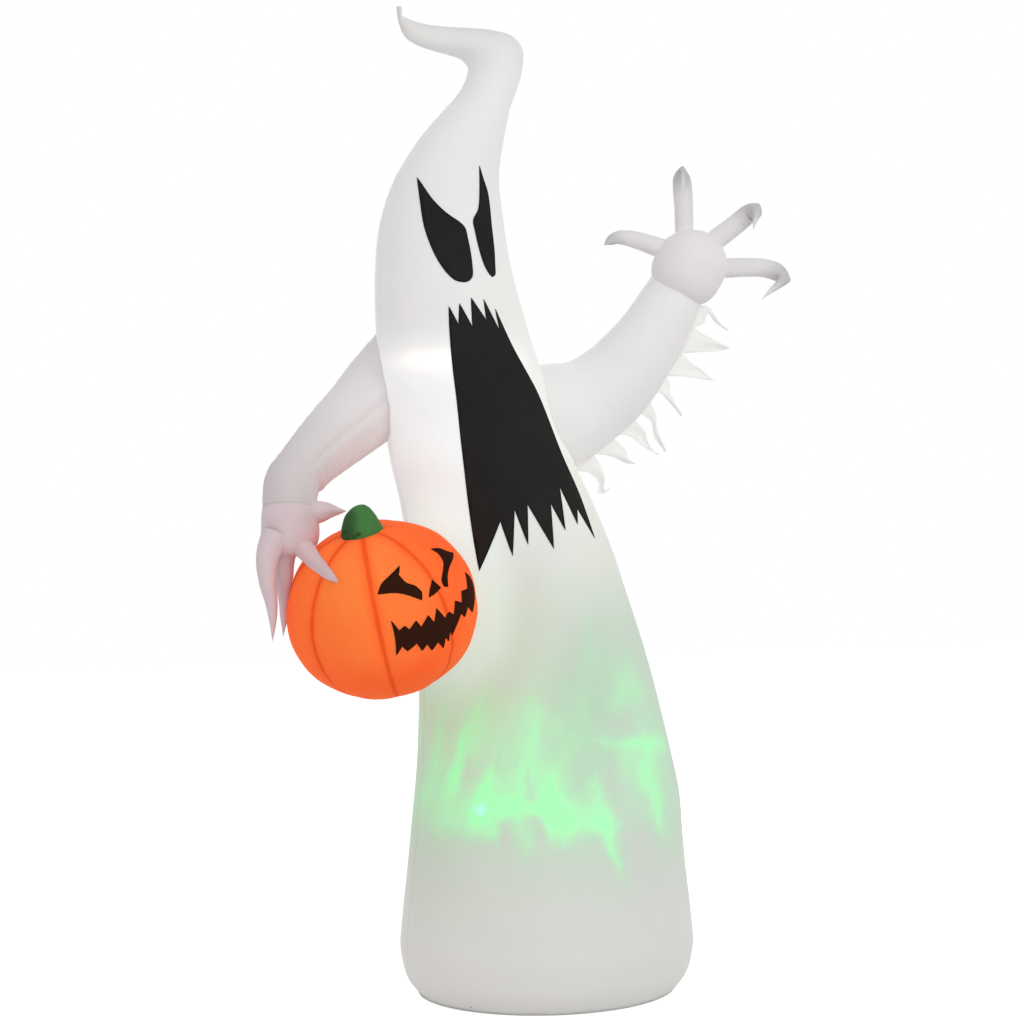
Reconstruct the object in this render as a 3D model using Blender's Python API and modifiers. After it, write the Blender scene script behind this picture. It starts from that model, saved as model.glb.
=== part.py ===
"""Inflatable ghost: a yard figure of sewn cloth that a small blower keeps up.

The body is a tall bent tube of two panels on a flat base. Two sleeves, two hands and a
pumpkin are sewn to it, and the blower, the lamps and a flame projector sit inside.
Metres, +Z up. The face looks along -Y, and the ghost's left hand is on the +X side.
"""
import math

import bmesh
import bpy
from mathutils import Matrix, Vector

# Cloth, seams and fits
SKIN = 0.002
CLEARANCE = 0.0003
PATCH = 0.0015
WEBBING = 0.0015
WEBBING_WIDTH = 0.025
SEAM_MARGIN = 0.022
OVERRUN = 0.05
WELD = 0.00001
ARC_STEPS = 4
TRIM_STEPS = 12
TURN_STEPS = 16

# Body
BODY_HEIGHT = 2.70
BODY_WIDTH = 0.84
BODY_DEPTH = 0.71
BASE_THICKNESS = 0.003
BODY_SEGMENTS = 24
FACE_TOP_SHARE = 0.9

# Each ring of the body: its height, its bend to the side and its half width and half
# depth as shares of the sizes above, and its tilt in degrees where the tail curls over
BODY_SHARES = (
    (0.000, 0.000, 0.905, 0.905, 0), (0.012, 0.000, 0.960, 0.960, 0), (0.038, 0.000, 1.000, 1.000, 0),
    (0.079, 0.000, 0.985, 0.985, 0), (0.121, 0.000, 0.952, 0.952, 0), (0.162, 0.000, 0.925, 0.925, 0),
    (0.204, 0.000, 0.900, 0.900, 0), (0.246, -0.003, 0.860, 0.860, 0), (0.300, -0.009, 0.808, 0.808, 0),
    (0.350, -0.017, 0.768, 0.768, 0), (0.402, -0.028, 0.726, 0.726, 0), (0.453, -0.040, 0.690, 0.690, 0),
    (0.494, -0.053, 0.654, 0.654, 0), (0.556, -0.076, 0.603, 0.605, 1), (0.607, -0.089, 0.564, 0.575, 1),
    (0.677, -0.105, 0.501, 0.540, 2), (0.736, -0.114, 0.450, 0.500, 3), (0.785, -0.116, 0.409, 0.460, 3),
    (0.834, -0.110, 0.344, 0.390, 3), (0.859, -0.101, 0.312, 0.355, 4), (0.882, -0.091, 0.281, 0.325, 7),
    (0.903, -0.079, 0.235, 0.275, 7), (0.924, -0.0655, 0.196, 0.232, 5), (0.943, -0.0585, 0.186, 0.220, 7),
    (0.958, -0.058, 0.194, 0.222, 20), (0.967, -0.066, 0.186, 0.212, 28), (0.971, -0.0805, 0.160, 0.185, 35),
    (0.972, -0.098, 0.119, 0.145, 49), (0.973, -0.123, 0.085, 0.100, 67), (0.976, -0.142, 0.070, 0.080, 76),
    (0.981, -0.154, 0.056, 0.062, 80), (0.988, -0.160, 0.029, 0.033, 76), (1.000, -0.163, 0.012, 0.014, 60))

# Face outlines: across as a share of the body's half width there, up as a share of its height
MOUTH_SHARES = (
    (-0.33, 0.694), (-0.24, 0.676), (-0.19, 0.697), (-0.07, 0.674), (-0.02, 0.703), (0.14, 0.681),
    (0.16, 0.702), (0.30, 0.671), (0.31, 0.693), (0.43, 0.657), (0.53, 0.634), (0.62, 0.613),
    (0.67, 0.586), (0.69, 0.548), (0.68, 0.510), (0.63, 0.466), (0.55, 0.496), (0.47, 0.480),
    (0.44, 0.518), (0.29, 0.474), (0.24, 0.501), (0.09, 0.456), (-0.02, 0.500), (-0.15, 0.460),
    (-0.17, 0.495), (-0.32, 0.449), (-0.34, 0.483), (-0.62, 0.434), (-0.60, 0.477), (-0.48, 0.555),
    (-0.43, 0.599), (-0.40, 0.639), (-0.36, 0.671))
RIGHT_EYE_SHARES = (
    (-0.78, 0.824), (-0.52, 0.802), (-0.27, 0.787), (0.00, 0.774), (0.05, 0.759), (0.08, 0.735),
    (0.06, 0.726), (-0.08, 0.719), (-0.22, 0.721), (-0.35, 0.733), (-0.48, 0.752), (-0.58, 0.775),
    (-0.68, 0.802))
LEFT_EYE_SHARES = (
    (0.28, 0.837), (0.37, 0.826), (0.48, 0.809), (0.51, 0.779), (0.50, 0.755), (0.45, 0.731),
    (0.38, 0.726), (0.30, 0.733), (0.22, 0.753), (0.18, 0.771), (0.17, 0.781), (0.27, 0.793),
    (0.30, 0.816))

# Left arm, raised: out, forward and up from the body's side, and girth, as shares of these
LEFT_SHOULDER_HEIGHT = 1.603
LEFT_ARM_REACH = 0.371
LEFT_ARM_RISE = 0.351
LEFT_ARM_FORWARD = 0.044
LEFT_ARM_HALF = 0.149
LEFT_PALM_RADIUS = 0.103
LEFT_ARM_SHARES = (
    (-0.27, -0.40, -0.06, 1.00), (0.09, -0.34, 0.00, 1.00), (0.31, -0.36, 0.08, 0.84),
    (0.52, -0.14, 0.27, 0.80), (0.72, 0.30, 0.52, 0.70), (0.87, 0.57, 0.75, 0.62),
    (0.96, 0.86, 0.92, 0.53), (1.00, 1.00, 1.00, 0.46), (1.05, 1.15, 1.10, 0.44))
LEFT_PALM_SHARES = (1.10, 1.34, 1.22)

# Right arm, bent down over the pumpkin: shares of the way from the body's side to the hand
RIGHT_SHOULDER_HEIGHT = 1.665
RIGHT_ARM_HALF = 0.146
RIGHT_PALM_RADIUS = 0.075
RIGHT_ARM_SHARES = (
    (-0.42, -0.22, -0.15, 0.82), (-0.08, -0.57, 0.00, 0.80), (0.17, -0.35, 0.16, 0.72),
    (0.51, 0.05, 0.38, 0.61), (0.79, 0.46, 0.57, 0.53), (0.92, 0.64, 0.67, 0.50),
    (0.98, 0.86, 0.81, 0.47), (1.00, 1.00, 0.93, 0.42))
ARM_SEGMENTS = 16
ARM_STEPS = 1

# Fingers: x, y, z and half thickness from the palm's centre, as shares of the palm's radius
FINGER_SEGMENTS = 8
FINGER_STEPS = 2
LEFT_FINGER_SHARES = {
    "left_thumb": ((-0.45, 0.25, 0.25, 0.32), (-0.78, 0.31, 0.50, 0.32), (-1.75, 0.38, 0.71, 0.25),
                   (-2.25, 0.27, 0.67, 0.165), (-2.58, 0.08, 0.44, 0.03)),
    "left_index_finger": ((-0.10, 0.08, 0.60, 0.27), (-0.16, 0.06, 1.00, 0.27), (-0.22, -0.02, 2.15, 0.27),
                          (-0.42, -0.26, 2.53, 0.19), (-0.63, -0.82, 1.73, 0.03)),
    "left_middle_finger": ((0.30, -0.12, 0.36, 0.29), (0.56, -0.23, 0.66, 0.29), (1.36, -0.66, 1.43, 0.27),
                           (1.43, -1.11, 1.52, 0.19), (1.11, -1.51, 0.94, 0.03)),
    "left_little_finger": ((0.55, -0.22, -0.03, 0.26), (0.94, -0.39, -0.06, 0.26), (1.95, -0.79, -0.09, 0.26),
                           (2.26, -1.23, -0.40, 0.19), (1.50, -1.36, -0.99, 0.03))}
RIGHT_FINGER_SHARES = {
    "right_thumb": ((0.10, -0.05, 0.45, 0.37), (0.43, -0.17, 0.59, 0.37), (1.12, -0.45, 0.59, 0.33),
                    (1.87, -0.61, 0.56, 0.03)),
    "right_index_finger": ((0.08, -0.40, -0.40, 0.31), (0.20, -0.72, -0.63, 0.31), (0.30, -2.50, -1.08, 0.27),
                           (0.67, -3.55, -1.74, 0.03)),
    "right_middle_finger": ((-0.62, -0.20, -0.60, 0.28), (-0.87, -0.24, -1.15, 0.28),
                            (-0.88, -0.67, -2.43, 0.24), (-0.72, -0.73, -3.72, 0.03)),
    "right_little_finger": ((-0.02, 0.10, -0.60, 0.28), (-0.19, 0.12, -1.03, 0.29),
                            (-0.37, 0.13, -2.44, 0.24), (-0.28, 0.24, -3.69, 0.03))}

# Tattered fringe under the left sleeve: its tips in the arm's own shares, its roots along the arm
FRINGE_THICKNESS = 0.002
FRINGE_BAND = 0.008
FRINGE_TIP_SHARES = (
    (1.43, 0.70), (1.43, 0.547), (1.33, 0.296), (1.07, 0.003), (0.94, -0.30), (0.86, -0.25),
    (0.70, -0.393), (0.497, -0.593))
FRINGE_ROOT_SHARES = (0.99, 0.90, 0.78, 0.66, 0.54, 0.43, 0.33, 0.24, 0.15)

# Pumpkin, pressed to the body's side and sewn there
PUMPKIN_RADIUS = 0.252
PUMPKIN_HALF_HEIGHT = 0.228
PUMPKIN_CENTRE_HEIGHT = 1.079
PUMPKIN_BEARING = math.radians(205)
PUMPKIN_PRESS = 0.011
PUMPKIN_LEAN = math.radians(23.5)
PUMPKIN_LEAN_BEARING = math.radians(216)
PUMPKIN_TURN = math.radians(15)
PUMPKIN_SEGMENTS = 32
PUMPKIN_RINGS = 10
PUMPKIN_LOBES = 8
PUMPKIN_LOBE_SHARE = 0.03
PUMPKIN_LOBE_TURN = 2 * math.pi / PUMPKIN_SEGMENTS
PUMPKIN_HAND_SHARES = (-0.893, 0.298, 0.829)
VENT_RADIUS = 0.035
STEM_RADIUS = 0.052
STEM_HEIGHT = 0.066
STEM_SHARES = (
    (0.00, -0.45, 1.02), (0.00, 0.05, 1.00), (0.02, 0.35, 0.88), (0.08, 0.62, 0.70), (0.15, 0.84, 0.48),
    (0.20, 1.00, 0.22))

# Pumpkin face outlines: across and up as shares of the pumpkin's radius
PUMPKIN_FACE_SHARES = {
    "pumpkin_right_eye": ((-0.42, 0.49), (-0.34, 0.56), (-0.22, 0.61), (-0.09, 0.65), (-0.16, 0.59),
                          (-0.14, 0.51), (-0.07, 0.45), (-0.04, 0.38), (-0.08, 0.32), (-0.20, 0.42),
                          (-0.30, 0.47)),
    "pumpkin_left_eye": ((0.36, 0.63), (0.46, 0.59), (0.56, 0.51), (0.65, 0.45), (0.59, 0.45), (0.44, 0.44),
                         (0.34, 0.39), (0.28, 0.30), (0.24, 0.32), (0.25, 0.38), (0.33, 0.45), (0.39, 0.50),
                         (0.40, 0.57)),
    "pumpkin_nose": ((0.15, 0.42), (0.20, 0.32), (0.13, 0.31), (0.01, 0.31), (0.06, 0.36)),
    "pumpkin_mouth": ((-0.43, 0.23), (-0.40, 0.12), (-0.34, 0.15), (-0.31, 0.10), (-0.22, 0.16), (-0.19, 0.08),
                      (-0.08, 0.16), (-0.04, 0.06), (0.04, 0.18), (0.11, 0.04), (0.19, 0.07), (0.23, 0.02),
                      (0.30, 0.14), (0.38, 0.08), (0.43, 0.18), (0.54, 0.15), (0.63, 0.27), (0.69, 0.17),
                      (0.66, 0.04), (0.51, -0.09), (0.45, 0.01), (0.36, -0.06), (0.32, 0.00), (0.20, -0.12),
                      (0.16, -0.17), (0.13, -0.10), (0.09, -0.20), (0.05, -0.13), (0.01, -0.24), (-0.05, -0.14),
                      (-0.13, -0.20), (-0.17, -0.11), (-0.23, -0.16), (-0.27, -0.06), (-0.37, -0.11),
                      (-0.41, -0.04), (-0.47, -0.12), (-0.45, 0.05))}

# Blower at the back
BLOWER_HEIGHT = 0.140
BLOWER_SEGMENTS = 24
BLOWER_RADIUS = 0.070
BLOWER_WALL = 0.004
BLOWER_FLANGE_RADIUS = 0.082
BLOWER_FLANGE = 0.004
BLOWER_INSIDE = 0.055
BLOWER_OUTSIDE = 0.060
BOOT_LENGTH = 0.046
CLAMP_WIDTH = 0.012
CLAMP_INSET = 0.006
CLAMP_THICKNESS = 0.002
CLAMP_LUG = 0.012
CLAMP_LUG_WIDTH_SHARE = 0.6
GRILLE_THICKNESS = 0.003
GRILLE_HUB_RADIUS = 0.014
GRILLE_SLOT = 0.007
GRILLE_BAR = 0.005
GRILLE_SPOKES = 4
GUARD_THICKNESS = 0.003
GUARD_HUB_RADIUS = 0.024
GUARD_RIM = 0.006
MOTOR_RADIUS = 0.022
MOTOR_NOSE_SHARE = 0.5
MOTOR_LENGTH = 0.030
SHAFT_RADIUS = 0.003
SHAFT_IN_MOTOR = 0.020
IMPELLER_GAP = 0.003
IMPELLER_HUB_RADIUS = 0.018
IMPELLER_HUB_LENGTH = 0.024
IMPELLER_NOSE_SHARE = 0.8
IMPELLER_TIP_GAP = 0.003
IMPELLER_BLADES = 7
BLADE_CHORD = 0.020
BLADE_THICKNESS = 0.002
BLADE_PITCH = math.radians(38)
SCREW_RADIUS = 0.0015
SCREW_HEAD_RADIUS = 0.003
SCREW_HEAD_HEIGHT = 0.002
SCREW_CROWN_SHARE = 0.7
SCREW_COUNT = 4
SCREW_BEARING = math.radians(45)
SCREW_STEPS = 8
GLAND_RADIUS = 0.0048
GLAND_NECK_RADIUS = 0.0044
GLAND_LENGTH = 0.014
GLAND_BORE_RADIUS = 0.0035

# Flame projector on the base
PROJECTOR_OFFSET_SHARES = (0.12, 0.28)
PROJECTOR_HEIGHT = 0.080
PROJECTOR_TILT = math.radians(30)
PROJECTOR_RADIUS = 0.040
PROJECTOR_WALL = 0.0025
PROJECTOR_LENGTH = 0.046
PROJECTOR_LEDGE = 0.003
PROJECTOR_LEDGE_DEPTH = 0.012
CRADLE_WALL = 0.003
CRADLE_OVERLAP = 0.024
BOARD_THICKNESS = 0.0016
BOARD_HOLE_RADIUS = 0.0045
SPIN_MOTOR_RADIUS = 0.014
SPIN_MOTOR_LENGTH = 0.018
SPINDLE_RADIUS = 0.0015
SPINDLE_ENGAGEMENT = 0.008
DOME_RADIUS = 0.036
DOME_WALL = 0.002
DOME_GAP = 0.002
DOME_BOSS_RADIUS = 0.006
CABLE_HOLE_RADIUS = 0.004

# Lamps on a webbing tape down the inside of the back
LAMP_HEIGHT_SHARES = {"waist_lamp": 0.389, "chest_lamp": 0.645, "head_lamp": 0.796}
LAMP_RADIUS = 0.018
LAMP_BASE = 0.010
LAMP_DOME_RADIUS = 0.014
TAPE_WIDTH = 0.022
TAPE_THICKNESS = 0.0015
TAPE_BOTTOM_SHARE = 0.30
TAPE_TOP_SHARE = 0.84

# Access zip in the back, above the blower
ZIP_BOTTOM = 0.330
ZIP_LENGTH = 0.300
ZIP_TAPE_WIDTH = 0.030
ZIP_TAPE_PROUD = 0.003
ZIP_SLOT_WIDTH = 0.010
ZIP_CHAIN_WIDTH = 0.006
ZIP_CHAIN_HEIGHT = 0.0015
ZIP_END_STOP = 0.010
SLIDER_LENGTH = 0.014
SLIDER_WIDTH = 0.011
SLIDER_TOP = 0.0018
EAR_WIDTH = 0.003
EAR_HEIGHT = 0.005
EAR_LENGTH = 0.008
EAR_HOLE_RADIUS = 0.0019
PULL_WIRE_RADIUS = 0.0011
PULL_WIDTH = 0.009
PULL_LENGTH = 0.030

# Webbing loops and ballast
LOOP_PROUD = 0.030
LOOP_SPREAD = 0.034
LOOP_STEPS = 8
STAKE_LOOP_HEIGHT = 0.036
STAKE_LOOP_BEARING = math.radians(40)
TETHER_LOOP_HEIGHT = 1.450
TETHER_LOOP_BEARING = math.radians(52)
BAG_HALF_LENGTH = 0.105
BAG_HALF_WIDTH = 0.070
BAG_HALF_HEIGHT = 0.030
BAG_PLACE_SHARES = (0.48, -0.36)
BAG_SINK_SHARE = 0.2


def clear_scene():
    """Remove every object that the file opened with."""
    for item in list(bpy.data.objects):
        bpy.data.objects.remove(item, do_unlink=True)


def make_collection(name):
    """A collection linked to the scene."""
    collection = bpy.data.collections.new(name)
    bpy.context.scene.collection.children.link(collection)
    return collection


clear_scene()
GHOST = make_collection("inflatable_ghost")
CUTTERS = make_collection("cutters")


def finish(name, colour, roughness, metallic=0.0):
    """A plain Principled material."""
    material = bpy.data.materials.new(name)
    material.use_nodes = True
    shader = material.node_tree.nodes["Principled BSDF"]
    shader.inputs["Base Color"].default_value = (*colour, 1)
    shader.inputs["Roughness"].default_value = roughness
    shader.inputs["Metallic"].default_value = metallic
    return material


WHITE_CLOTH = finish("white_cloth", (0.86, 0.85, 0.84), 0.7)
PINK_CLOTH = finish("pink_lit_cloth", (0.78, 0.66, 0.66), 0.7)
BLACK_CLOTH = finish("black_cloth", (0.02, 0.02, 0.02), 0.8)
ORANGE_CLOTH = finish("orange_cloth", (0.95, 0.20, 0.04), 0.6)
GREEN_CLOTH = finish("green_cloth", (0.03, 0.16, 0.04), 0.7)
WHITE_PLASTIC = finish("white_plastic", (0.75, 0.75, 0.73), 0.4)
BLACK_PLASTIC = finish("black_plastic", (0.03, 0.03, 0.03), 0.45)
CLEAR_PLASTIC = finish("clear_plastic", (0.80, 0.88, 0.82), 0.1)
BARE_METAL = finish("bare_metal", (0.60, 0.60, 0.60), 0.3, 1.0)


def as_piece(name, mesh, material, matrix=None, parent=None):
    """Put a mesh in the ghost's collection as one named sub-part."""
    piece = bpy.data.objects.new(name, mesh)
    mesh.materials.clear()
    mesh.materials.append(material)
    for face in mesh.polygons:
        face.use_smooth = True
    mesh.set_sharp_from_angle(angle=math.radians(35))
    GHOST.objects.link(piece)
    if parent:
        piece.parent = parent
        piece.matrix_parent_inverse = Matrix()
    if matrix:
        piece.matrix_local = matrix
    return piece


def as_cutter(name, mesh, matrix=None):
    """Put a mesh in the cutters' collection, hidden from renders."""
    cutter = bpy.data.objects.new(name, mesh)
    cutter.hide_render = True
    cutter.display_type = "WIRE"
    CUTTERS.objects.link(cutter)
    if matrix:
        cutter.matrix_world = matrix
    return cutter


def boolean(piece, other, operation="DIFFERENCE"):
    """Cut, join or intersect a piece with another object."""
    modifier = piece.modifiers.new(operation.lower(), "BOOLEAN")
    modifier.operation = operation
    modifier.object = other
    modifier.solver = "EXACT"
    return modifier


def layer_modifier(piece, inner, outer):
    """Thicken an open skin so that it fills the space from inner to outer along its normals."""
    modifier = piece.modifiers.new("layer", "SOLIDIFY")
    modifier.thickness = outer - inner
    modifier.offset = (outer + inner) / (outer - inner)
    modifier.use_even_offset = False
    return modifier


def named_mesh(name, bm):
    """Store a bmesh as mesh data."""
    mesh = bpy.data.meshes.new(name)
    bm.to_mesh(mesh)
    bm.free()
    return mesh


def grown_ring(bm, edges, matrix):
    """Extrude a ring of edges and move the new ring by a matrix."""
    grown = bmesh.ops.extrude_edge_only(bm, edges=edges)["geom"]
    ring = [item for item in grown if isinstance(item, bmesh.types.BMVert)]
    placed = set(ring)
    linked = dict.fromkeys(edge for vert in ring for edge in vert.link_edges)
    bmesh.ops.transform(bm, matrix=matrix, verts=ring)
    return [edge for edge in linked if all(vert in placed for vert in edge.verts)]


def loft(frames, segments, closed=False, closed_end=False, drop=0.0):
    """A tube through unit circles placed by the frames, in triangles that always split alike."""
    bm = bmesh.new()
    circle = bmesh.ops.create_circle(bm, cap_ends=False, segments=segments, radius=1, matrix=frames[0])
    start = circle["verts"]
    first = list(dict.fromkeys(edge for vert in start for edge in vert.link_edges))
    last = first
    for before, after in zip(frames, frames[1:]):
        last = grown_ring(bm, last, after @ before.inverted())
    bmesh.ops.triangulate(bm, faces=bm.faces, quad_method="FIXED")
    if drop:
        first = grown_ring(bm, first, Matrix.Translation((0, 0, -drop)))
    if closed:
        bmesh.ops.contextual_create(bm, geom=first)
    if closed or closed_end:
        bmesh.ops.contextual_create(bm, geom=last)
    bmesh.ops.recalc_face_normals(bm, faces=bm.faces)
    side = start[0].link_faces[0]
    if not closed and side.normal.dot(side.calc_center_median() - frames[0].translation) < 0:
        bmesh.ops.reverse_faces(bm, faces=bm.faces)
    return bm


def box_mesh(name, low, high):
    """A box between two corners."""
    size = Vector(high) - Vector(low)
    middle = (Vector(high) + Vector(low)) / 2
    bm = bmesh.new()
    bmesh.ops.create_cube(bm, size=1, matrix=Matrix.Translation(middle) @ Matrix.Diagonal((*size, 1)))
    return named_mesh(name, bm)


def cylinder_mesh(name, radius, low, high, segments=24):
    """A cylinder along Z from low to high."""
    bm = bmesh.new()
    bmesh.ops.create_cone(bm, cap_ends=True, segments=segments, radius1=radius, radius2=radius,
                          depth=high - low, matrix=Matrix.Translation((0, 0, (low + high) / 2)))
    return named_mesh(name, bm)


def ball_mesh(name, half_sizes, centre, u_segments=14, v_segments=8):
    """A ball of three half sizes."""
    matrix = Matrix.Translation(centre) @ Matrix.Diagonal((*half_sizes, 1))
    bm = bmesh.new()
    bmesh.ops.create_uvsphere(bm, u_segments=u_segments, v_segments=v_segments, radius=1, matrix=matrix)
    bmesh.ops.triangulate(bm, faces=bm.faces, quad_method="FIXED")
    return named_mesh(name, bm)


def turned(name, profile, material, matrix, segments=TURN_STEPS, parent=None):
    """A turned piece: a closed or axis-to-axis profile of (radius, height) turned round Z."""
    mesh = bpy.data.meshes.new(name)
    on_axis = profile[0][0] == 0
    edges = [(index, index + 1) for index in range(len(profile) - 1)]
    if not on_axis:
        edges.append((len(profile) - 1, 0))
    mesh.from_pydata([(radius, 0, height) for radius, height in profile], edges, [])
    piece = as_piece(name, mesh, material, matrix, parent)
    modifier = piece.modifiers.new("turn", "SCREW")
    modifier.axis = "Z"
    modifier.steps = segments
    modifier.render_steps = segments
    modifier.use_merge_vertices = True
    modifier.merge_threshold = WELD
    modifier.use_smooth_shade = True
    return piece


def arc(radius, start, end, steps, centre=(0, 0)):
    """Points on an arc, both ends included."""
    turns = [start + (end - start) * step / steps for step in range(steps + 1)]
    return [(centre[0] + radius * math.cos(turn), centre[1] + radius * math.sin(turn)) for turn in turns]


def circle_points(radius, steps, centre=(0, 0)):
    """Points round a whole circle."""
    return arc(radius, 0, 2 * math.pi * (steps - 1) / steps, steps - 1, centre)


def sector(inner, outer, start, end, steps):
    """The outline of a curved slot between two radii."""
    return arc(outer, start, end, steps) + arc(inner, end, start, steps)


def plate_mesh(name, outlines, thickness):
    """Flat outlines filled as a 2D curve, centred on Z = 0, and turned into a welded mesh."""
    curve = bpy.data.curves.new(name, "CURVE")
    curve.dimensions = "2D"
    curve.fill_mode = "BOTH"
    curve.extrude = thickness / 2
    for points in outlines:
        spline = curve.splines.new("POLY")
        spline.points.add(len(points) - 1)
        for point, (across, up) in zip(spline.points, points):
            point.co = (across, up, 0, 1)
        spline.use_cyclic_u = True
    drawn = bpy.data.objects.new(name, curve)
    CUTTERS.objects.link(drawn)
    filled = bpy.data.meshes.new_from_object(drawn.evaluated_get(bpy.context.evaluated_depsgraph_get()))
    bpy.data.objects.remove(drawn)
    bm = bmesh.new()
    bm.from_mesh(filled)
    bmesh.ops.remove_doubles(bm, verts=bm.verts, dist=WELD)
    bmesh.ops.recalc_face_normals(bm, faces=bm.faces)
    bpy.data.meshes.remove(filled)
    return named_mesh(name, bm)


def along(direction, origin=(0, 0, 0)):
    """A frame at an origin whose Z runs along a direction."""
    return Matrix.Translation(origin) @ Vector(direction).to_track_quat("Z", "Y").to_matrix().to_4x4()


def smoothed(points, steps):
    """More points of (place, radius) on a smooth line through the given ones."""
    rows = [Vector((*place, radius)) for place, radius in points]
    ends = [rows[0] * 2 - rows[1]] + rows + [rows[-1] * 2 - rows[-2]]
    line = []
    for before, start, end, after in zip(ends, ends[1:], ends[2:], ends[3:]):
        for step in range(steps):
            share = step / steps
            pull = (end - before) / 2 * share + (2 * before - 5 * start + 4 * end - after) / 2 * share ** 2
            line.append(start + pull + (3 * start - before - 3 * end + after) / 2 * share ** 3)
    line.append(rows[-1])
    return [(row.xyz, row.w) for row in line]


def path_frames(path, grow=0.0):
    """Circles square to a path of (place, radius), carried along it without twist."""
    places = [place for place, radius in path]
    frames = []
    turn = None
    heading = None
    for index, (place, radius) in enumerate(path):
        before = places[max(index - 1, 0)]
        after = places[min(index + 1, len(places) - 1)]
        ahead = (after - before).normalized()
        turn = heading.rotation_difference(ahead) @ turn if heading else ahead.to_track_quat("Z", "Y")
        heading = ahead
        size = Matrix.Diagonal((radius + grow, radius + grow, 1, 1))
        frames.append(Matrix.Translation(place) @ turn.to_matrix().to_4x4() @ size)
    return frames


# Body

FLOOR_LIFT = BASE_THICKNESS + CLEARANCE


def body_frames(grow=0.0, top_share=1.0):
    """The body's rings from the base up to a share of its height."""
    frames = []
    for height, bend, width, depth, tilt in BODY_SHARES:
        if height > top_share:
            break
        place = (bend * BODY_HEIGHT, 0, FLOOR_LIFT + height * (BODY_HEIGHT - FLOOR_LIFT))
        size = (width * BODY_WIDTH / 2 + grow, depth * BODY_DEPTH / 2 + grow, 1, 1)
        turn = Matrix.Rotation(-math.radians(tilt), 4, "Y")
        frames.append(Matrix.Translation(place) @ turn @ Matrix.Diagonal(size))
    return frames


def body_at(height):
    """The body's centre, half width and half depth at a height."""
    share = (height - FLOOR_LIFT) / (BODY_HEIGHT - FLOOR_LIFT)
    for low, high in zip(BODY_SHARES, BODY_SHARES[1:]):
        if share <= high[0]:
            break
    mix = (share - low[0]) / (high[0] - low[0])
    bend, width, depth = [low[column] + (high[column] - low[column]) * mix for column in (1, 2, 3)]
    return bend * BODY_HEIGHT, width * BODY_WIDTH / 2, depth * BODY_DEPTH / 2


def skin_point(height, bearing):
    """The point of the body's skin at a height and bearing, and its level outward normal."""
    centre, half_width, half_depth = body_at(height)
    reach = 1 / math.hypot(math.cos(bearing) / half_width, math.sin(bearing) / half_depth)
    out = Vector((math.cos(bearing), math.sin(bearing), 0)) * reach
    normal = Vector((out.x / half_width ** 2, out.y / half_depth ** 2, 0)).normalized()
    return Vector((centre, 0, height)) + out, normal


def skin_layer_mesh(name, top_share=1.0):
    """The body's open skin, closed at the tip of the tail where it reaches that far."""
    whole = top_share >= 1.0
    return named_mesh(name, loft(body_frames(top_share=top_share), BODY_SEGMENTS, closed_end=whole))


def envelope(name, grow):
    """A closed solid of the body, grown outward, that trims what is sewn to it."""
    return as_cutter(name, named_mesh(name, loft(body_frames(grow), BODY_SEGMENTS, True, drop=OVERRUN)))


BODY_ENVELOPE = envelope("body_envelope", CLEARANCE)
FRONT_HALF = as_cutter("front_half", box_mesh(
    "front_half", (-BODY_WIDTH, -BODY_DEPTH, -OVERRUN), (BODY_WIDTH, CLEARANCE / 2, BODY_HEIGHT + OVERRUN)))
BACK_HALF = as_cutter("back_half", box_mesh(
    "back_half", (-BODY_WIDTH, -CLEARANCE / 2, -OVERRUN), (BODY_WIDTH, BODY_DEPTH, BODY_HEIGHT + OVERRUN)))
FLOOR_CUTTER = as_cutter("floor_cutter", box_mesh(
    "floor_cutter", (-BODY_WIDTH, -BODY_DEPTH, -BODY_DEPTH), (BODY_WIDTH, BODY_DEPTH, FLOOR_LIFT)))


def body_panel(name, other_half, openings):
    """One half of the body's skin, with its openings cut."""
    piece = as_piece(name, skin_layer_mesh(name), WHITE_CLOTH)
    layer_modifier(piece, -SKIN, 0.0)
    boolean(piece, other_half)
    for opening in openings:
        boolean(piece, opening)
    return piece


def base_panel():
    """The flat bottom that the body is sewn to."""
    width, depth = BODY_SHARES[0][2:4]
    mesh = cylinder_mesh("base_panel", 1, 0, BASE_THICKNESS, BODY_SEGMENTS)
    mesh.transform(Matrix.Diagonal((width * BODY_WIDTH / 2, depth * BODY_DEPTH / 2, 1, 1)))
    return as_piece("base_panel", mesh, WHITE_CLOTH)


# Face patches

# From an outline's own plane to one that faces the front
FACE_TURN = Matrix.Rotation(math.radians(90), 4, "X")


def face_patch(name, shares):
    """A patch of black cloth on the skin, cut to an outline."""
    outline = []
    for across, up in shares:
        height = FLOOR_LIFT + up * (BODY_HEIGHT - FLOOR_LIFT)
        centre, half_width, half_depth = body_at(height)
        outline.append((centre + across * half_width, height))
    prism = plate_mesh(name + "_outline", [outline], BODY_DEPTH)
    prism.transform(Matrix.Translation((0, -BODY_DEPTH / 2 - SEAM_MARGIN, 0)) @ FACE_TURN)
    piece = as_piece(name, skin_layer_mesh(name, FACE_TOP_SHARE), BLACK_CLOTH)
    layer_modifier(piece, CLEARANCE, CLEARANCE + PATCH)
    boolean(piece, as_cutter(name + "_outline", prism), "INTERSECT")
    return piece


# Arms and hands

def sleeve(name, path, material):
    """A hollow sleeve along a path, trimmed where it meets the body."""
    piece = as_piece(name, named_mesh(name, loft(path_frames(path), ARM_SEGMENTS)), material)
    layer_modifier(piece, -SKIN, 0.0)
    boolean(piece, BODY_ENVELOPE)


def tube_cutter(name, path, grow):
    """A closed solid along a path, grown or shrunk."""
    return as_cutter(name, named_mesh(name, loft(path_frames(path, grow), ARM_SEGMENTS, True)))


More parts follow.
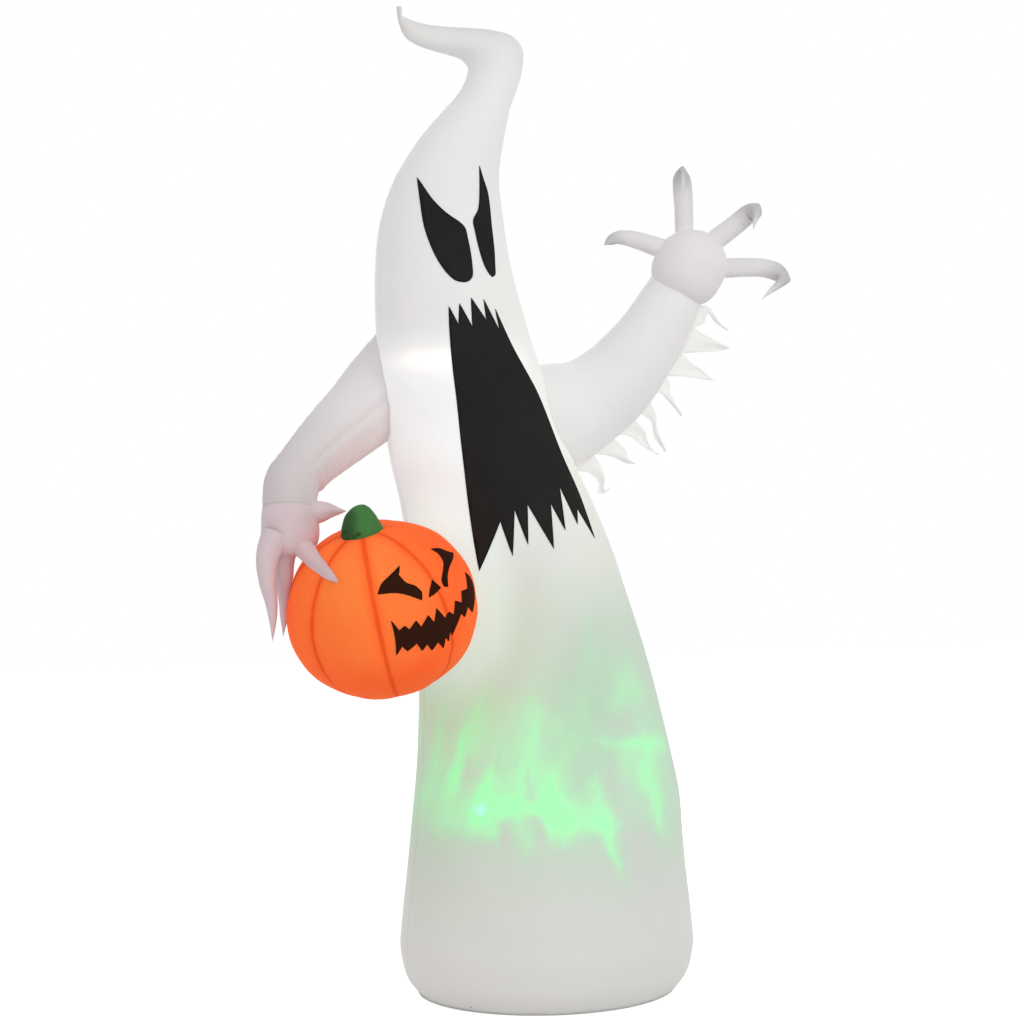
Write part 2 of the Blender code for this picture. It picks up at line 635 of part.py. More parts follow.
def palm(name, centre, radius, material, cutters):
    """A hollow palm, trimmed where the sleeve enters it."""
    piece = as_piece(name, ball_mesh(name, (radius, radius, radius), centre), material)
    layer_modifier(piece, -SKIN, 0.0)
    for cutter in cutters:
        boolean(piece, cutter)
    return piece


def finger(name, centre, radius, shares, material, cutters):
    """A finger that tapers to a hooked claw, trimmed at the palm."""
    points = [(centre + Vector(row[:3]) * radius, row[3] * radius) for row in shares]
    path = smoothed(points, FINGER_STEPS)
    piece = as_piece(name, named_mesh(name, loft(path_frames(path), FINGER_SEGMENTS, True)), material)
    for cutter in cutters:
        boolean(piece, cutter)
    return piece


def palm_cutter(name, centre, radius):
    """The palm's ball, grown by the clearance."""
    grown = radius + CLEARANCE
    return as_cutter(name, ball_mesh(name, (grown, grown, grown), centre))


def left_arm_place(reach, forward, rise):
    """A place in the left arm's own shares."""
    centre, half_width, half_depth = body_at(LEFT_SHOULDER_HEIGHT)
    return Vector((centre + half_width + reach * LEFT_ARM_REACH, -forward * LEFT_ARM_FORWARD,
                   LEFT_SHOULDER_HEIGHT + rise * LEFT_ARM_RISE))


LEFT_ARM_POINTS = [
    (left_arm_place(reach, forward, rise), girth * LEFT_ARM_HALF)
    for reach, forward, rise, girth in LEFT_ARM_SHARES]
LEFT_ARM_PATH = smoothed(LEFT_ARM_POINTS, ARM_STEPS)
LEFT_PALM_CENTRE = left_arm_place(*LEFT_PALM_SHARES)


def left_hand():
    """The raised palm and its four fingers."""
    sleeve_cutter = tube_cutter("left_sleeve_envelope", LEFT_ARM_PATH, CLEARANCE)
    palm("left_palm", LEFT_PALM_CENTRE, LEFT_PALM_RADIUS, WHITE_CLOTH, [sleeve_cutter])
    ball = palm_cutter("left_palm_envelope", LEFT_PALM_CENTRE, LEFT_PALM_RADIUS)
    for name, shares in LEFT_FINGER_SHARES.items():
        finger(name, LEFT_PALM_CENTRE, LEFT_PALM_RADIUS, shares, WHITE_CLOTH, [ball])
    return sleeve_cutter, ball


def left_fringe(cutters):
    """A flat tattered strip that hangs from the seam under the left sleeve."""
    start = LEFT_ARM_PATH[0][0]
    end = LEFT_ARM_PATH[-1][0]
    level = Vector((end.x - start.x, end.y - start.y, 0)).normalized()

    def flat(place):
        return ((place - start).dot(level), place.z - start.z)

    last = len(LEFT_ARM_PATH) - 1
    roots = []
    spine = []
    for share in FRINGE_ROOT_SHARES:
        index = min(int(share * last), last - 1)
        mix = share * last - index
        (low, low_half), (high, high_half) = LEFT_ARM_PATH[index], LEFT_ARM_PATH[index + 1]
        place = Vector(flat(low.lerp(high, mix)))
        ahead = (Vector(flat(high)) - Vector(flat(low))).normalized()
        below = Vector((ahead.y, -ahead.x))
        roots.append(place + below * (low_half + (high_half - low_half) * mix + FRINGE_BAND))
        spine.append(place + below * (low_half + (high_half - low_half) * mix) / 2)
    outline = [tuple(roots[0])]
    for root, (reach, rise) in zip(roots[1:], FRINGE_TIP_SHARES):
        outline.append(flat(left_arm_place(reach, LEFT_PALM_SHARES[1], rise)))
        outline.append(tuple(root))
    outline += [tuple(place) for place in reversed(spine)]
    across = Matrix((level, (0, 0, 1), level.cross((0, 0, 1)))).transposed().to_4x4()
    mesh = plate_mesh("left_sleeve_fringe", [outline], FRINGE_THICKNESS)
    mesh.transform(Matrix.Translation(start) @ across)
    piece = as_piece("left_sleeve_fringe", mesh, WHITE_CLOTH)
    for cutter in cutters:
        boolean(piece, cutter)


# Pumpkin

def pumpkin_place():
    """The pumpkin's frame: its centre, its lean and the turn of its face."""
    touch, normal = skin_point(PUMPKIN_CENTRE_HEIGHT, PUMPKIN_BEARING)
    out = Vector((math.cos(PUMPKIN_BEARING), math.sin(PUMPKIN_BEARING), 0))
    centre = touch + out * (PUMPKIN_RADIUS - PUMPKIN_PRESS)
    lean_axis = Vector((-math.sin(PUMPKIN_LEAN_BEARING), math.cos(PUMPKIN_LEAN_BEARING), 0))
    lean = Matrix.Rotation(PUMPKIN_LEAN, 4, lean_axis)
    return Matrix.Translation(centre) @ lean @ Matrix.Rotation(PUMPKIN_TURN, 4, "Z"), touch, out


PUMPKIN_FRAME, PUMPKIN_TOUCH, PUMPKIN_OUT = pumpkin_place()


def pumpkin_mesh(name, grow=0.0):
    """The lobed skin of the pumpkin."""
    sizes = Matrix.Diagonal((PUMPKIN_RADIUS + grow, PUMPKIN_RADIUS + grow, PUMPKIN_HALF_HEIGHT + grow, 1))
    bm = bmesh.new()
    bmesh.ops.create_uvsphere(bm, u_segments=PUMPKIN_SEGMENTS, v_segments=PUMPKIN_RINGS, radius=1)
    for vert in bm.verts:
        phase = (math.atan2(vert.co.y, vert.co.x) - PUMPKIN_LOBE_TURN) / (2 * math.pi) * PUMPKIN_LOBES
        groove = PUMPKIN_LOBE_SHARE * (1 - abs(math.sin(math.pi * phase)))
        vert.co.xy *= 1 - groove
    bmesh.ops.triangulate(bm, faces=bm.faces, quad_method="FIXED")
    bmesh.ops.transform(bm, matrix=PUMPKIN_FRAME @ sizes, verts=bm.verts)
    return named_mesh(name, bm)


PUMPKIN_ENVELOPE = as_cutter("pumpkin_envelope", pumpkin_mesh("pumpkin_envelope", CLEARANCE))


def pumpkin():
    """The pumpkin's shell, its stem and its face."""
    shell = as_piece("pumpkin_shell", pumpkin_mesh("pumpkin_shell"), ORANGE_CLOTH)
    layer_modifier(shell, -SKIN, 0.0)
    boolean(shell, BODY_ENVELOPE)
    pole = PUMPKIN_FRAME @ Vector((0, 0, PUMPKIN_HALF_HEIGHT))
    up = PUMPKIN_FRAME.to_3x3() @ Vector((0, 0, 1))
    side = PUMPKIN_FRAME.to_3x3() @ Vector((1, 0, 0))
    points = [(pole + up * rise * STEM_HEIGHT + side * lean * STEM_HEIGHT, girth * STEM_RADIUS)
              for lean, rise, girth in STEM_SHARES]
    stem_loft = loft(path_frames(smoothed(points, 1)), TRIM_STEPS, True)
    stem = as_piece("pumpkin_stem", named_mesh("pumpkin_stem", stem_loft), GREEN_CLOTH)
    boolean(stem, PUMPKIN_ENVELOPE)
    for name, shares in PUMPKIN_FACE_SHARES.items():
        outline = [(across * PUMPKIN_RADIUS, up_share * PUMPKIN_RADIUS) for across, up_share in shares]
        prism = plate_mesh(name + "_outline", [outline], PUMPKIN_RADIUS)
        shift = Matrix.Translation((0, -PUMPKIN_RADIUS / 2 - SEAM_MARGIN, 0))
        prism.transform(PUMPKIN_FRAME @ shift @ FACE_TURN)
        patch = as_piece(name, pumpkin_mesh(name), BLACK_CLOTH)
        layer_modifier(patch, CLEARANCE, CLEARANCE + PATCH)
        boolean(patch, as_cutter(name + "_outline", prism), "INTERSECT")


def pumpkin_vent():
    """The air hole behind the pumpkin's seam."""
    mesh = cylinder_mesh("pumpkin_vent", VENT_RADIUS, -OVERRUN, OVERRUN, ARM_SEGMENTS)
    return as_cutter("pumpkin_vent", mesh, along(PUMPKIN_OUT, PUMPKIN_TOUCH))


def right_arm_points():
    """The right arm's path from the body's side to the hand on the pumpkin."""
    centre, half_width, half_depth = body_at(RIGHT_SHOULDER_HEIGHT)
    shoulder = Vector((centre - half_width, 0, RIGHT_SHOULDER_HEIGHT))
    hand = PUMPKIN_FRAME.translation + Vector(PUMPKIN_HAND_SHARES) * PUMPKIN_RADIUS
    way = hand - shoulder
    points = []
    for across, forward, down, girth in RIGHT_ARM_SHARES:
        place = shoulder + Vector((across * way.x, forward * way.y, down * way.z))
        points.append((place, girth * RIGHT_ARM_HALF))
    return points, hand


RIGHT_ARM_POINTS, RIGHT_PALM_CENTRE = right_arm_points()
RIGHT_ARM_PATH = smoothed(RIGHT_ARM_POINTS, ARM_STEPS)


def right_hand():
    """The hand that holds the pumpkin."""
    sleeve_cutter = tube_cutter("right_sleeve_envelope", RIGHT_ARM_PATH, CLEARANCE)
    palm("right_palm", RIGHT_PALM_CENTRE, RIGHT_PALM_RADIUS, PINK_CLOTH, [sleeve_cutter, PUMPKIN_ENVELOPE])
    ball = palm_cutter("right_palm_envelope", RIGHT_PALM_CENTRE, RIGHT_PALM_RADIUS)
    neighbours = {"right_thumb": [sleeve_cutter], "right_index_finger": [PUMPKIN_ENVELOPE],
                  "right_middle_finger": [], "right_little_finger": [PUMPKIN_ENVELOPE]}
    for name, shares in RIGHT_FINGER_SHARES.items():
        finger(name, RIGHT_PALM_CENTRE, RIGHT_PALM_RADIUS, shares, PINK_CLOTH, [ball] + neighbours[name])


# Blower

BLOWER_SKIN = skin_point(BLOWER_HEIGHT, math.radians(90))[0]
BLOWER_FRAME = along((0, 1, 0), BLOWER_SKIN)


def blower():
    """The fan unit in its cloth boot: along Z here, which is straight back."""
    inner = BLOWER_RADIUS - BLOWER_WALL
    low = -BLOWER_INSIDE
    high = BLOWER_OUTSIDE
    housing = turned("blower_housing", [
        (BLOWER_FLANGE_RADIUS, high), (BLOWER_FLANGE_RADIUS, high - BLOWER_FLANGE),
        (BLOWER_RADIUS, high - BLOWER_FLANGE), (BLOWER_RADIUS, low), (inner, low), (inner, high)],
        BLACK_PLASTIC, BLOWER_FRAME, BLOWER_SEGMENTS)
    boot_inner = BLOWER_RADIUS + CLEARANCE
    boot_outer = boot_inner + SKIN
    boot = turned("blower_boot", [
        (boot_outer, BOOT_LENGTH), (boot_outer, -OVERRUN), (boot_inner, -OVERRUN), (boot_inner, BOOT_LENGTH)],
        WHITE_CLOTH, BLOWER_FRAME, BLOWER_SEGMENTS)
    boolean(boot, BODY_ENVELOPE)
    blower_clamp(boot_outer + CLEARANCE)
    intake_grille(high)
    screw_centre = (inner + BLOWER_FLANGE_RADIUS) / 2 + BLOWER_WALL / 2
    head = high + 2 * CLEARANCE + GRILLE_THICKNESS
    for index in range(SCREW_COUNT):
        turn = SCREW_BEARING + index * 2 * math.pi / SCREW_COUNT
        place = Vector((screw_centre * math.cos(turn), screw_centre * math.sin(turn), 0))
        hole = as_cutter("screw_hole_%d" % (index + 1), cylinder_mesh(
            "screw_hole", SCREW_RADIUS + CLEARANCE, high - OVERRUN, high + OVERRUN, SCREW_STEPS),
            BLOWER_FRAME @ Matrix.Translation(place))
        boolean(housing, hole)
        boolean(bpy.data.objects["intake_grille"], hole)
        turned("grille_screw_%d" % (index + 1), [
            (0, head + SCREW_HEAD_HEIGHT), (SCREW_HEAD_RADIUS * SCREW_CROWN_SHARE, head + SCREW_HEAD_HEIGHT),
            (SCREW_HEAD_RADIUS, head + SCREW_HEAD_HEIGHT / 2), (SCREW_HEAD_RADIUS, head),
            (SCREW_RADIUS, head), (SCREW_RADIUS, high - BLOWER_FLANGE), (0, high - BLOWER_FLANGE)],
            BARE_METAL, BLOWER_FRAME @ Matrix.Translation(place), SCREW_STEPS)
    fan_drive(inner, low)
    cable_gland()


def blower_clamp(inner):
    """The band that holds the boot to the housing, with its lug."""
    outer = inner + CLAMP_THICKNESS
    top = BOOT_LENGTH - CLAMP_INSET
    low = top - CLAMP_WIDTH
    band = turned("blower_clamp", [(outer, top), (outer, low), (inner, low), (inner, top)],
                  BARE_METAL, BLOWER_FRAME, BLOWER_SEGMENTS)
    middle = (top + low) / 2
    half_width = CLAMP_LUG_WIDTH_SHARE * CLAMP_WIDTH / 2
    lug = as_cutter("clamp_lug", box_mesh(
        "clamp_lug", (outer - CLAMP_THICKNESS / 2, -CLAMP_LUG / 2, middle - half_width),
        (outer + CLAMP_LUG / 2, CLAMP_LUG / 2, middle + half_width)), BLOWER_FRAME)
    boolean(band, lug, "UNION")


def intake_grille(seat):
    """The outer grille: ring slots with bars between them."""
    outer = BLOWER_FLANGE_RADIUS
    reach = BLOWER_RADIUS - BLOWER_WALL - GRILLE_BAR
    outlines = [circle_points(outer, BLOWER_SEGMENTS)]
    start = GRILLE_HUB_RADIUS
    while start + GRILLE_SLOT <= reach:
        half_bar = GRILLE_BAR / 2 / start
        for index in range(GRILLE_SPOKES):
            turn = index * 2 * math.pi / GRILLE_SPOKES
            outlines.append(sector(start, start + GRILLE_SLOT, turn + half_bar,
                                   turn + 2 * math.pi / GRILLE_SPOKES - half_bar, ARC_STEPS))
        start += GRILLE_SLOT + GRILLE_BAR
    mesh = plate_mesh("intake_grille", outlines, GRILLE_THICKNESS)
    middle = seat + CLEARANCE + GRILLE_THICKNESS / 2
    return as_piece("intake_grille", mesh, BLACK_PLASTIC, BLOWER_FRAME @ Matrix.Translation((0, 0, middle)))


def fan_drive(inner, low):
    """The guard that carries the motor, and the impeller on the motor's shaft."""
    rim = inner - CLEARANCE
    outlines = [circle_points(rim, BLOWER_SEGMENTS)]
    half_bar = GUARD_RIM / 2 / GUARD_HUB_RADIUS
    for index in range(GRILLE_SPOKES):
        turn = SCREW_BEARING + index * 2 * math.pi / GRILLE_SPOKES
        outlines.append(sector(GUARD_HUB_RADIUS, rim - GUARD_RIM, turn + half_bar,
                               turn + 2 * math.pi / GRILLE_SPOKES - half_bar, ARC_STEPS))
    mesh = plate_mesh("outlet_guard", outlines, GUARD_THICKNESS)
    shift = Matrix.Translation((0, 0, low + GUARD_THICKNESS / 2))
    as_piece("outlet_guard", mesh, BLACK_PLASTIC, BLOWER_FRAME @ shift)

    seat = low + GUARD_THICKNESS + CLEARANCE
    top = seat + MOTOR_LENGTH
    bore = SHAFT_RADIUS + CLEARANCE
    floor = top - SHAFT_IN_MOTOR - CLEARANCE
    turned("blower_motor", [
        (0, floor), (bore, floor), (bore, top), (MOTOR_RADIUS * MOTOR_NOSE_SHARE, top),
        (MOTOR_RADIUS, top - bore), (MOTOR_RADIUS, seat), (0, seat)], BARE_METAL, BLOWER_FRAME)

    axis = bpy.data.objects.new("impeller_axis", None)
    GHOST.objects.link(axis)
    axis.matrix_world = BLOWER_FRAME
    hub_low = top + IMPELLER_GAP
    hub_high = hub_low + IMPELLER_HUB_LENGTH
    shaft_end = hub_high - BLADE_THICKNESS - CLEARANCE
    turned("impeller_shaft", [(0, shaft_end), (SHAFT_RADIUS, shaft_end), (SHAFT_RADIUS, top - SHAFT_IN_MOTOR),
                              (0, top - SHAFT_IN_MOTOR)], BARE_METAL, Matrix(), TURN_STEPS, axis)
    impeller = turned("impeller", [
        (0, hub_high), (IMPELLER_HUB_RADIUS * IMPELLER_NOSE_SHARE, hub_high),
        (IMPELLER_HUB_RADIUS, hub_high - BLADE_THICKNESS),
        (IMPELLER_HUB_RADIUS, hub_low), (bore, hub_low), (bore, shaft_end + CLEARANCE),
        (0, shaft_end + CLEARANCE)], WHITE_PLASTIC, Matrix(), TURN_STEPS, axis)
    tip = inner - IMPELLER_TIP_GAP
    root = IMPELLER_HUB_RADIUS - BLADE_THICKNESS
    middle = (hub_low + hub_high) / 2
    for index in range(IMPELLER_BLADES):
        turn = Matrix.Rotation(index * 2 * math.pi / IMPELLER_BLADES, 4, "Z")
        pitch = Matrix.Rotation(BLADE_PITCH, 4, "X")
        blade = box_mesh("blade_%d" % (index + 1), (root, -BLADE_CHORD / 2, -BLADE_THICKNESS / 2),
                         (tip - BLADE_THICKNESS, BLADE_CHORD / 2, BLADE_THICKNESS / 2))
        place = BLOWER_FRAME @ turn @ Matrix.Translation((0, 0, middle)) @ pitch
        boolean(impeller, as_cutter("blade_%d" % (index + 1), blade, place), "UNION")


def cable_gland():
    """The gland where a power lead would enter the housing, below the clamp and the flange."""
    place = BLOWER_FRAME @ Vector((0, 0, (BOOT_LENGTH + BLOWER_OUTSIDE - BLOWER_FLANGE) / 2))
    root = BLOWER_RADIUS - BLOWER_WALL
    tip = BLOWER_RADIUS + GLAND_LENGTH
    neck = tip - GLAND_LENGTH / 2
    gland = turned("cable_gland", [
        (GLAND_NECK_RADIUS, tip), (GLAND_NECK_RADIUS, neck), (GLAND_RADIUS, neck), (GLAND_RADIUS, root),
        (GLAND_BORE_RADIUS, root), (GLAND_BORE_RADIUS, tip)],
        BLACK_PLASTIC, along((0, 0, -1), place), TRIM_STEPS)
    mesh = cylinder_mesh("housing_envelope", BLOWER_RADIUS + CLEARANCE, -BLOWER_INSIDE, BLOWER_OUTSIDE,
                         BLOWER_SEGMENTS)
    boolean(gland, as_cutter("housing_envelope", mesh, BLOWER_FRAME))


# Flame projector

def projector():
    """A can on the base with a lamp board and a turning dome, tilted to the front."""
    centre = Vector((PROJECTOR_OFFSET_SHARES[0] * BODY_WIDTH / 2, PROJECTOR_OFFSET_SHARES[1] * BODY_DEPTH / 2,
                     PROJECTOR_HEIGHT))
    frame = Matrix.Translation(centre) @ Matrix.Rotation(PROJECTOR_TILT, 4, "X")
    inner = PROJECTOR_RADIUS - PROJECTOR_WALL
    lower = inner - PROJECTOR_LEDGE
    floor = -PROJECTOR_LENGTH
    seat = -PROJECTOR_LEDGE_DEPTH
    turned("projector_housing", [
        (PROJECTOR_RADIUS, 0), (PROJECTOR_RADIUS, floor), (CABLE_HOLE_RADIUS, floor),
        (CABLE_HOLE_RADIUS, floor + PROJECTOR_WALL), (lower, floor + PROJECTOR_WALL), (lower, seat),
        (inner, seat), (inner, 0)], BLACK_PLASTIC, frame)
    board = seat + CLEARANCE
    turned("projector_led_board", [
        (inner - CLEARANCE, board + BOARD_THICKNESS), (inner - CLEARANCE, board), (BOARD_HOLE_RADIUS, board),
        (BOARD_HOLE_RADIUS, board + BOARD_THICKNESS)], WHITE_PLASTIC, frame)
    motor_low = floor + PROJECTOR_WALL + CLEARANCE
    motor_top = motor_low + SPIN_MOTOR_LENGTH
    spindle_low = motor_top - SPINDLE_ENGAGEMENT
    bore = SPINDLE_RADIUS + CLEARANCE
    turned("projector_motor", [
        (0, spindle_low - CLEARANCE), (bore, spindle_low - CLEARANCE), (bore, motor_top),
        (SPIN_MOTOR_RADIUS, motor_top), (SPIN_MOTOR_RADIUS, motor_low), (0, motor_low)], BARE_METAL, frame)

    cradle_inner = PROJECTOR_RADIUS + CLEARANCE
    cradle_outer = cradle_inner + CRADLE_WALL
    cradle_top = -PROJECTOR_LENGTH + CRADLE_OVERLAP
    cradle_low = -(PROJECTOR_HEIGHT + cradle_outer) / math.cos(PROJECTOR_TILT)
    cradle = turned("projector_cradle", [
        (cradle_outer, cradle_top), (cradle_outer, cradle_low), (cradle_inner, cradle_low),
        (cradle_inner, cradle_top)], WHITE_PLASTIC, frame)
    boolean(cradle, FLOOR_CUTTER)

    axis = bpy.data.objects.new("projector_dome_axis", None)
    GHOST.objects.link(axis)
    axis.matrix_world = frame
    outer_arc = arc(DOME_RADIUS, math.pi / 2, 0, ARC_STEPS)
    inner_arc = arc(DOME_RADIUS - DOME_WALL, 0, math.pi / 2, ARC_STEPS)[:-2]
    spindle_top = DOME_GAP + SPINDLE_ENGAGEMENT
    profile = [(0, DOME_RADIUS)] + outer_arc[1:] + inner_arc
    profile += [(DOME_BOSS_RADIUS, inner_arc[-1][1]), (DOME_BOSS_RADIUS, 0), (bore, 0),
                (bore, spindle_top + CLEARANCE), (0, spindle_top + CLEARANCE)]
    profile = [(radius, DOME_GAP + height) for radius, height in profile]
    turned("projector_dome", profile, CLEAR_PLASTIC, Matrix(), TURN_STEPS, axis)
    turned("projector_spindle", [
        (0, DOME_GAP + spindle_top), (SPINDLE_RADIUS, DOME_GAP + spindle_top), (SPINDLE_RADIUS, spindle_low),
        (0, spindle_low)], BARE_METAL, Matrix(), TRIM_STEPS, axis)


# Lamps

def light_tape():
    """The webbing tape inside the back that carries the lamps."""
    heights = [row[0] for row in BODY_SHARES if TAPE_BOTTOM_SHARE <= row[0] <= TAPE_TOP_SHARE]
    edge = []
    for share in heights:
        height = FLOOR_LIFT + share * (BODY_HEIGHT - FLOOR_LIFT)
        edge.append((body_at(height)[0], height))
    outline = [(across - TAPE_WIDTH / 2, height) for across, height in edge]
    outline += [(across + TAPE_WIDTH / 2, height) for across, height in reversed(edge)]
    prism = plate_mesh("light_tape_outline", [outline], BODY_DEPTH)
    prism.transform(Matrix.Translation((0, BODY_DEPTH / 2 + SEAM_MARGIN, 0)) @ FACE_TURN)
    tape = as_piece("light_tape", skin_layer_mesh("light_tape", FACE_TOP_SHARE), WHITE_CLOTH)
    layer_modifier(tape, -SKIN - CLEARANCE - TAPE_THICKNESS, -SKIN - CLEARANCE)
    boolean(tape, as_cutter("light_tape_outline", prism), "INTERSECT")


def lamp_profile(base_depth):
    """A round lamp: a base that stands on Z = 0 and a domed lens."""
    lens = arc(LAMP_DOME_RADIUS, math.pi / 2, 0, ARC_STEPS, (0, LAMP_BASE))[1:]
    base = [(LAMP_RADIUS, LAMP_BASE), (LAMP_RADIUS, -base_depth), (0, -base_depth)]
    return [(0, LAMP_BASE + LAMP_DOME_RADIUS)] + lens + base


def lamps():
    """Three lamps on the tape and one in the pumpkin."""
    wall = skin_layer_mesh("lamp_wall", FACE_TOP_SHARE)
    cutter = as_cutter("lamp_wall", wall)
    layer_modifier(cutter, -SKIN - TAPE_THICKNESS - 2 * CLEARANCE, OVERRUN)
    for name, share in LAMP_HEIGHT_SHARES.items():
        height = FLOOR_LIFT + share * (BODY_HEIGHT - FLOOR_LIFT)
        centre, half_width, half_depth = body_at(height)
        place = (centre, half_depth - SKIN - TAPE_THICKNESS, height)
        lamp = turned(name, lamp_profile(LAMP_BASE), CLEAR_PLASTIC, along((0, -1, 0), place), TRIM_STEPS)
        boolean(lamp, cutter)
    down = PUMPKIN_FRAME @ Vector((0, 0, -PUMPKIN_HALF_HEIGHT + SKIN))
    lamp = turned("pumpkin_lamp", lamp_profile(LAMP_BASE), CLEAR_PLASTIC,
                  along(PUMPKIN_FRAME.to_3x3() @ Vector((0, 0, 1)), down), TRIM_STEPS)
    wall = as_cutter("pumpkin_wall", pumpkin_mesh("pumpkin_wall"))
    layer_modifier(wall, -SKIN - CLEARANCE, OVERRUN)
    boolean(lamp, wall)


# Zip

def zip_frame():
    """The zip's frame: at its lower end on the skin, Z up the back, Y straight out of it."""
    low = skin_point(ZIP_BOTTOM, math.radians(90))[0]
    high = skin_point(ZIP_BOTTOM + ZIP_LENGTH, math.radians(90))[0]
    up = (high - low).normalized()
    out = up.cross(Vector((1, 0, 0))).normalized()
    turn = Matrix((out.cross(up), out, up)).transposed()
    return Matrix.Translation(low) @ turn.to_4x4()


ZIP_FRAME = zip_frame()


def access_zip():
    """The zip in the back: tape and chain, slider and pull."""
    face = ZIP_TAPE_PROUD
    half = ZIP_TAPE_WIDTH / 2
    tape = as_piece("zip_tape", box_mesh("zip_tape", (-half, -ZIP_TAPE_PROUD, 0), (half, face, ZIP_LENGTH)),
                    WHITE_CLOTH, ZIP_FRAME)
    boolean(tape, BODY_ENVELOPE)
    chain_top = face + ZIP_CHAIN_HEIGHT
    chain = box_mesh("zip_chain", (-ZIP_CHAIN_WIDTH / 2, face - ZIP_CHAIN_HEIGHT, ZIP_END_STOP / 2),
                     (ZIP_CHAIN_WIDTH / 2, chain_top, ZIP_LENGTH - ZIP_END_STOP / 2))
    boolean(tape, as_cutter("zip_chain", chain, ZIP_FRAME), "UNION")

    travel = bpy.data.objects.new("zip_travel", None)
    GHOST.objects.link(travel)
    travel.matrix_world = ZIP_FRAME @ Matrix.Translation((0, chain_top, ZIP_END_STOP))
    bottom = CLEARANCE
    top = bottom + SLIDER_TOP
    mesh = box_mesh("zip_slider", (-SLIDER_WIDTH / 2, CLEARANCE - ZIP_CHAIN_HEIGHT, 0),
                    (SLIDER_WIDTH / 2, top, SLIDER_LENGTH))
    slider = as_piece("zip_slider", mesh, BARE_METAL, Matrix(), travel)
    channel_half = ZIP_CHAIN_WIDTH / 2 + CLEARANCE
    frame = ZIP_FRAME @ Matrix.Translation((0, chain_top, ZIP_END_STOP))
    channel = box_mesh("slider_channel", (-channel_half, -OVERRUN, -OVERRUN), (channel_half, bottom, OVERRUN))
    boolean(slider, as_cutter("slider_channel", channel, frame))
    ear_low = (SLIDER_LENGTH - EAR_LENGTH) / 2
    ear = box_mesh("slider_ear", (-EAR_WIDTH / 2, top - SLIDER_TOP / 2, ear_low),
                   (EAR_WIDTH / 2, top + EAR_HEIGHT, ear_low + EAR_LENGTH))
    boolean(slider, as_cutter("slider_ear", ear, frame), "UNION")
    hinge_out = top + EAR_HEIGHT / 2
    hinge_up = ear_low + EAR_LENGTH / 2
    place = frame @ Matrix.Translation((0, hinge_out, hinge_up)) @ Matrix.Rotation(math.radians(90), 4, "Y")
    hole = cylinder_mesh("ear_hole", EAR_HOLE_RADIUS, -OVERRUN, OVERRUN, TRIM_STEPS)
    boolean(slider, as_cutter("ear_hole", hole, place))
    zip_pull(travel, hinge_out, hinge_up)


def zip_pull(travel, hinge_out, hinge_up):
    """The pull: a flat tab with a square eye that passes through the slider's ear."""
    hinge = bpy.data.objects.new("zip_pull_hinge", None)
    GHOST.objects.link(hinge)
    hinge.parent = travel
    hinge.matrix_local = Matrix.Translation((0, hinge_out, hinge_up))
    wire = PULL_WIRE_RADIUS
    half = PULL_WIDTH / 2
    eye = EAR_LENGTH
    outline = [(-half, wire), (half, wire), (half, -PULL_LENGTH), (-half, -PULL_LENGTH)]
    window_half = half - 2 * wire
    window = [(-window_half, -wire), (window_half, -wire), (window_half, -eye), (-window_half, -eye)]
    mesh = plate_mesh("zip_pull", [outline, window], 2 * wire)
    mesh.transform(Matrix.Rotation(math.radians(90), 4, "X"))
    return as_piece("zip_pull", mesh, BARE_METAL, Matrix(), hinge)


# Loops and ballast

def webbing_loop(name, height, bearing):
    """A loop of webbing that stands out from the skin, its opening up and down."""
    place, normal = skin_point(height, bearing)
    half = LOOP_SPREAD / 2
    outer = arc(half, 0, math.pi, LOOP_STEPS, (0, LOOP_PROUD - half))
    inner = arc(half - WEBBING, math.pi, 0, LOOP_STEPS, (0, LOOP_PROUD - half))
    outline = [(half, -OVERRUN / 2)] + outer + [(-half, -OVERRUN / 2), (-half + WEBBING, -OVERRUN / 2)]
    outline += inner + [(half - WEBBING, -OVERRUN / 2)]
    mesh = plate_mesh(name, [outline], WEBBING_WIDTH)
    side = Vector((normal.y, -normal.x, 0))
    turn = Matrix((side, normal, Vector((0, 0, 1)))).transposed()
    mesh.transform(Matrix.Translation(place) @ turn.to_4x4())
    boolean(as_piece(name, mesh, WHITE_CLOTH), BODY_ENVELOPE)


def loops():
    """Stake loops at the base and tether loops behind the shoulders."""
    webbing_loop("stake_loop_left", STAKE_LOOP_HEIGHT, STAKE_LOOP_BEARING)
    webbing_loop("stake_loop_right", STAKE_LOOP_HEIGHT, math.pi - STAKE_LOOP_BEARING)
    webbing_loop("tether_loop_left", TETHER_LOOP_HEIGHT, TETHER_LOOP_BEARING)
    webbing_loop("tether_loop_right", TETHER_LOOP_HEIGHT, math.pi - TETHER_LOOP_BEARING)


def ballast_bags():
    """Two sand bags that lie on the base panel."""
    for side, sign in (("left", 1), ("right", -1)):
        name = "ballast_bag_" + side
        centre = (sign * BAG_PLACE_SHARES[0] * BODY_WIDTH / 2, BAG_PLACE_SHARES[1] * BODY_DEPTH / 2,
                  FLOOR_LIFT + BAG_HALF_HEIGHT * (1 - BAG_SINK_SHARE))
        mesh = ball_mesh(name, (BAG_HALF_LENGTH, BAG_HALF_WIDTH, BAG_HALF_HEIGHT), centre)
        boolean(as_piece(name, mesh, BLACK_CLOTH), FLOOR_CUTTER)


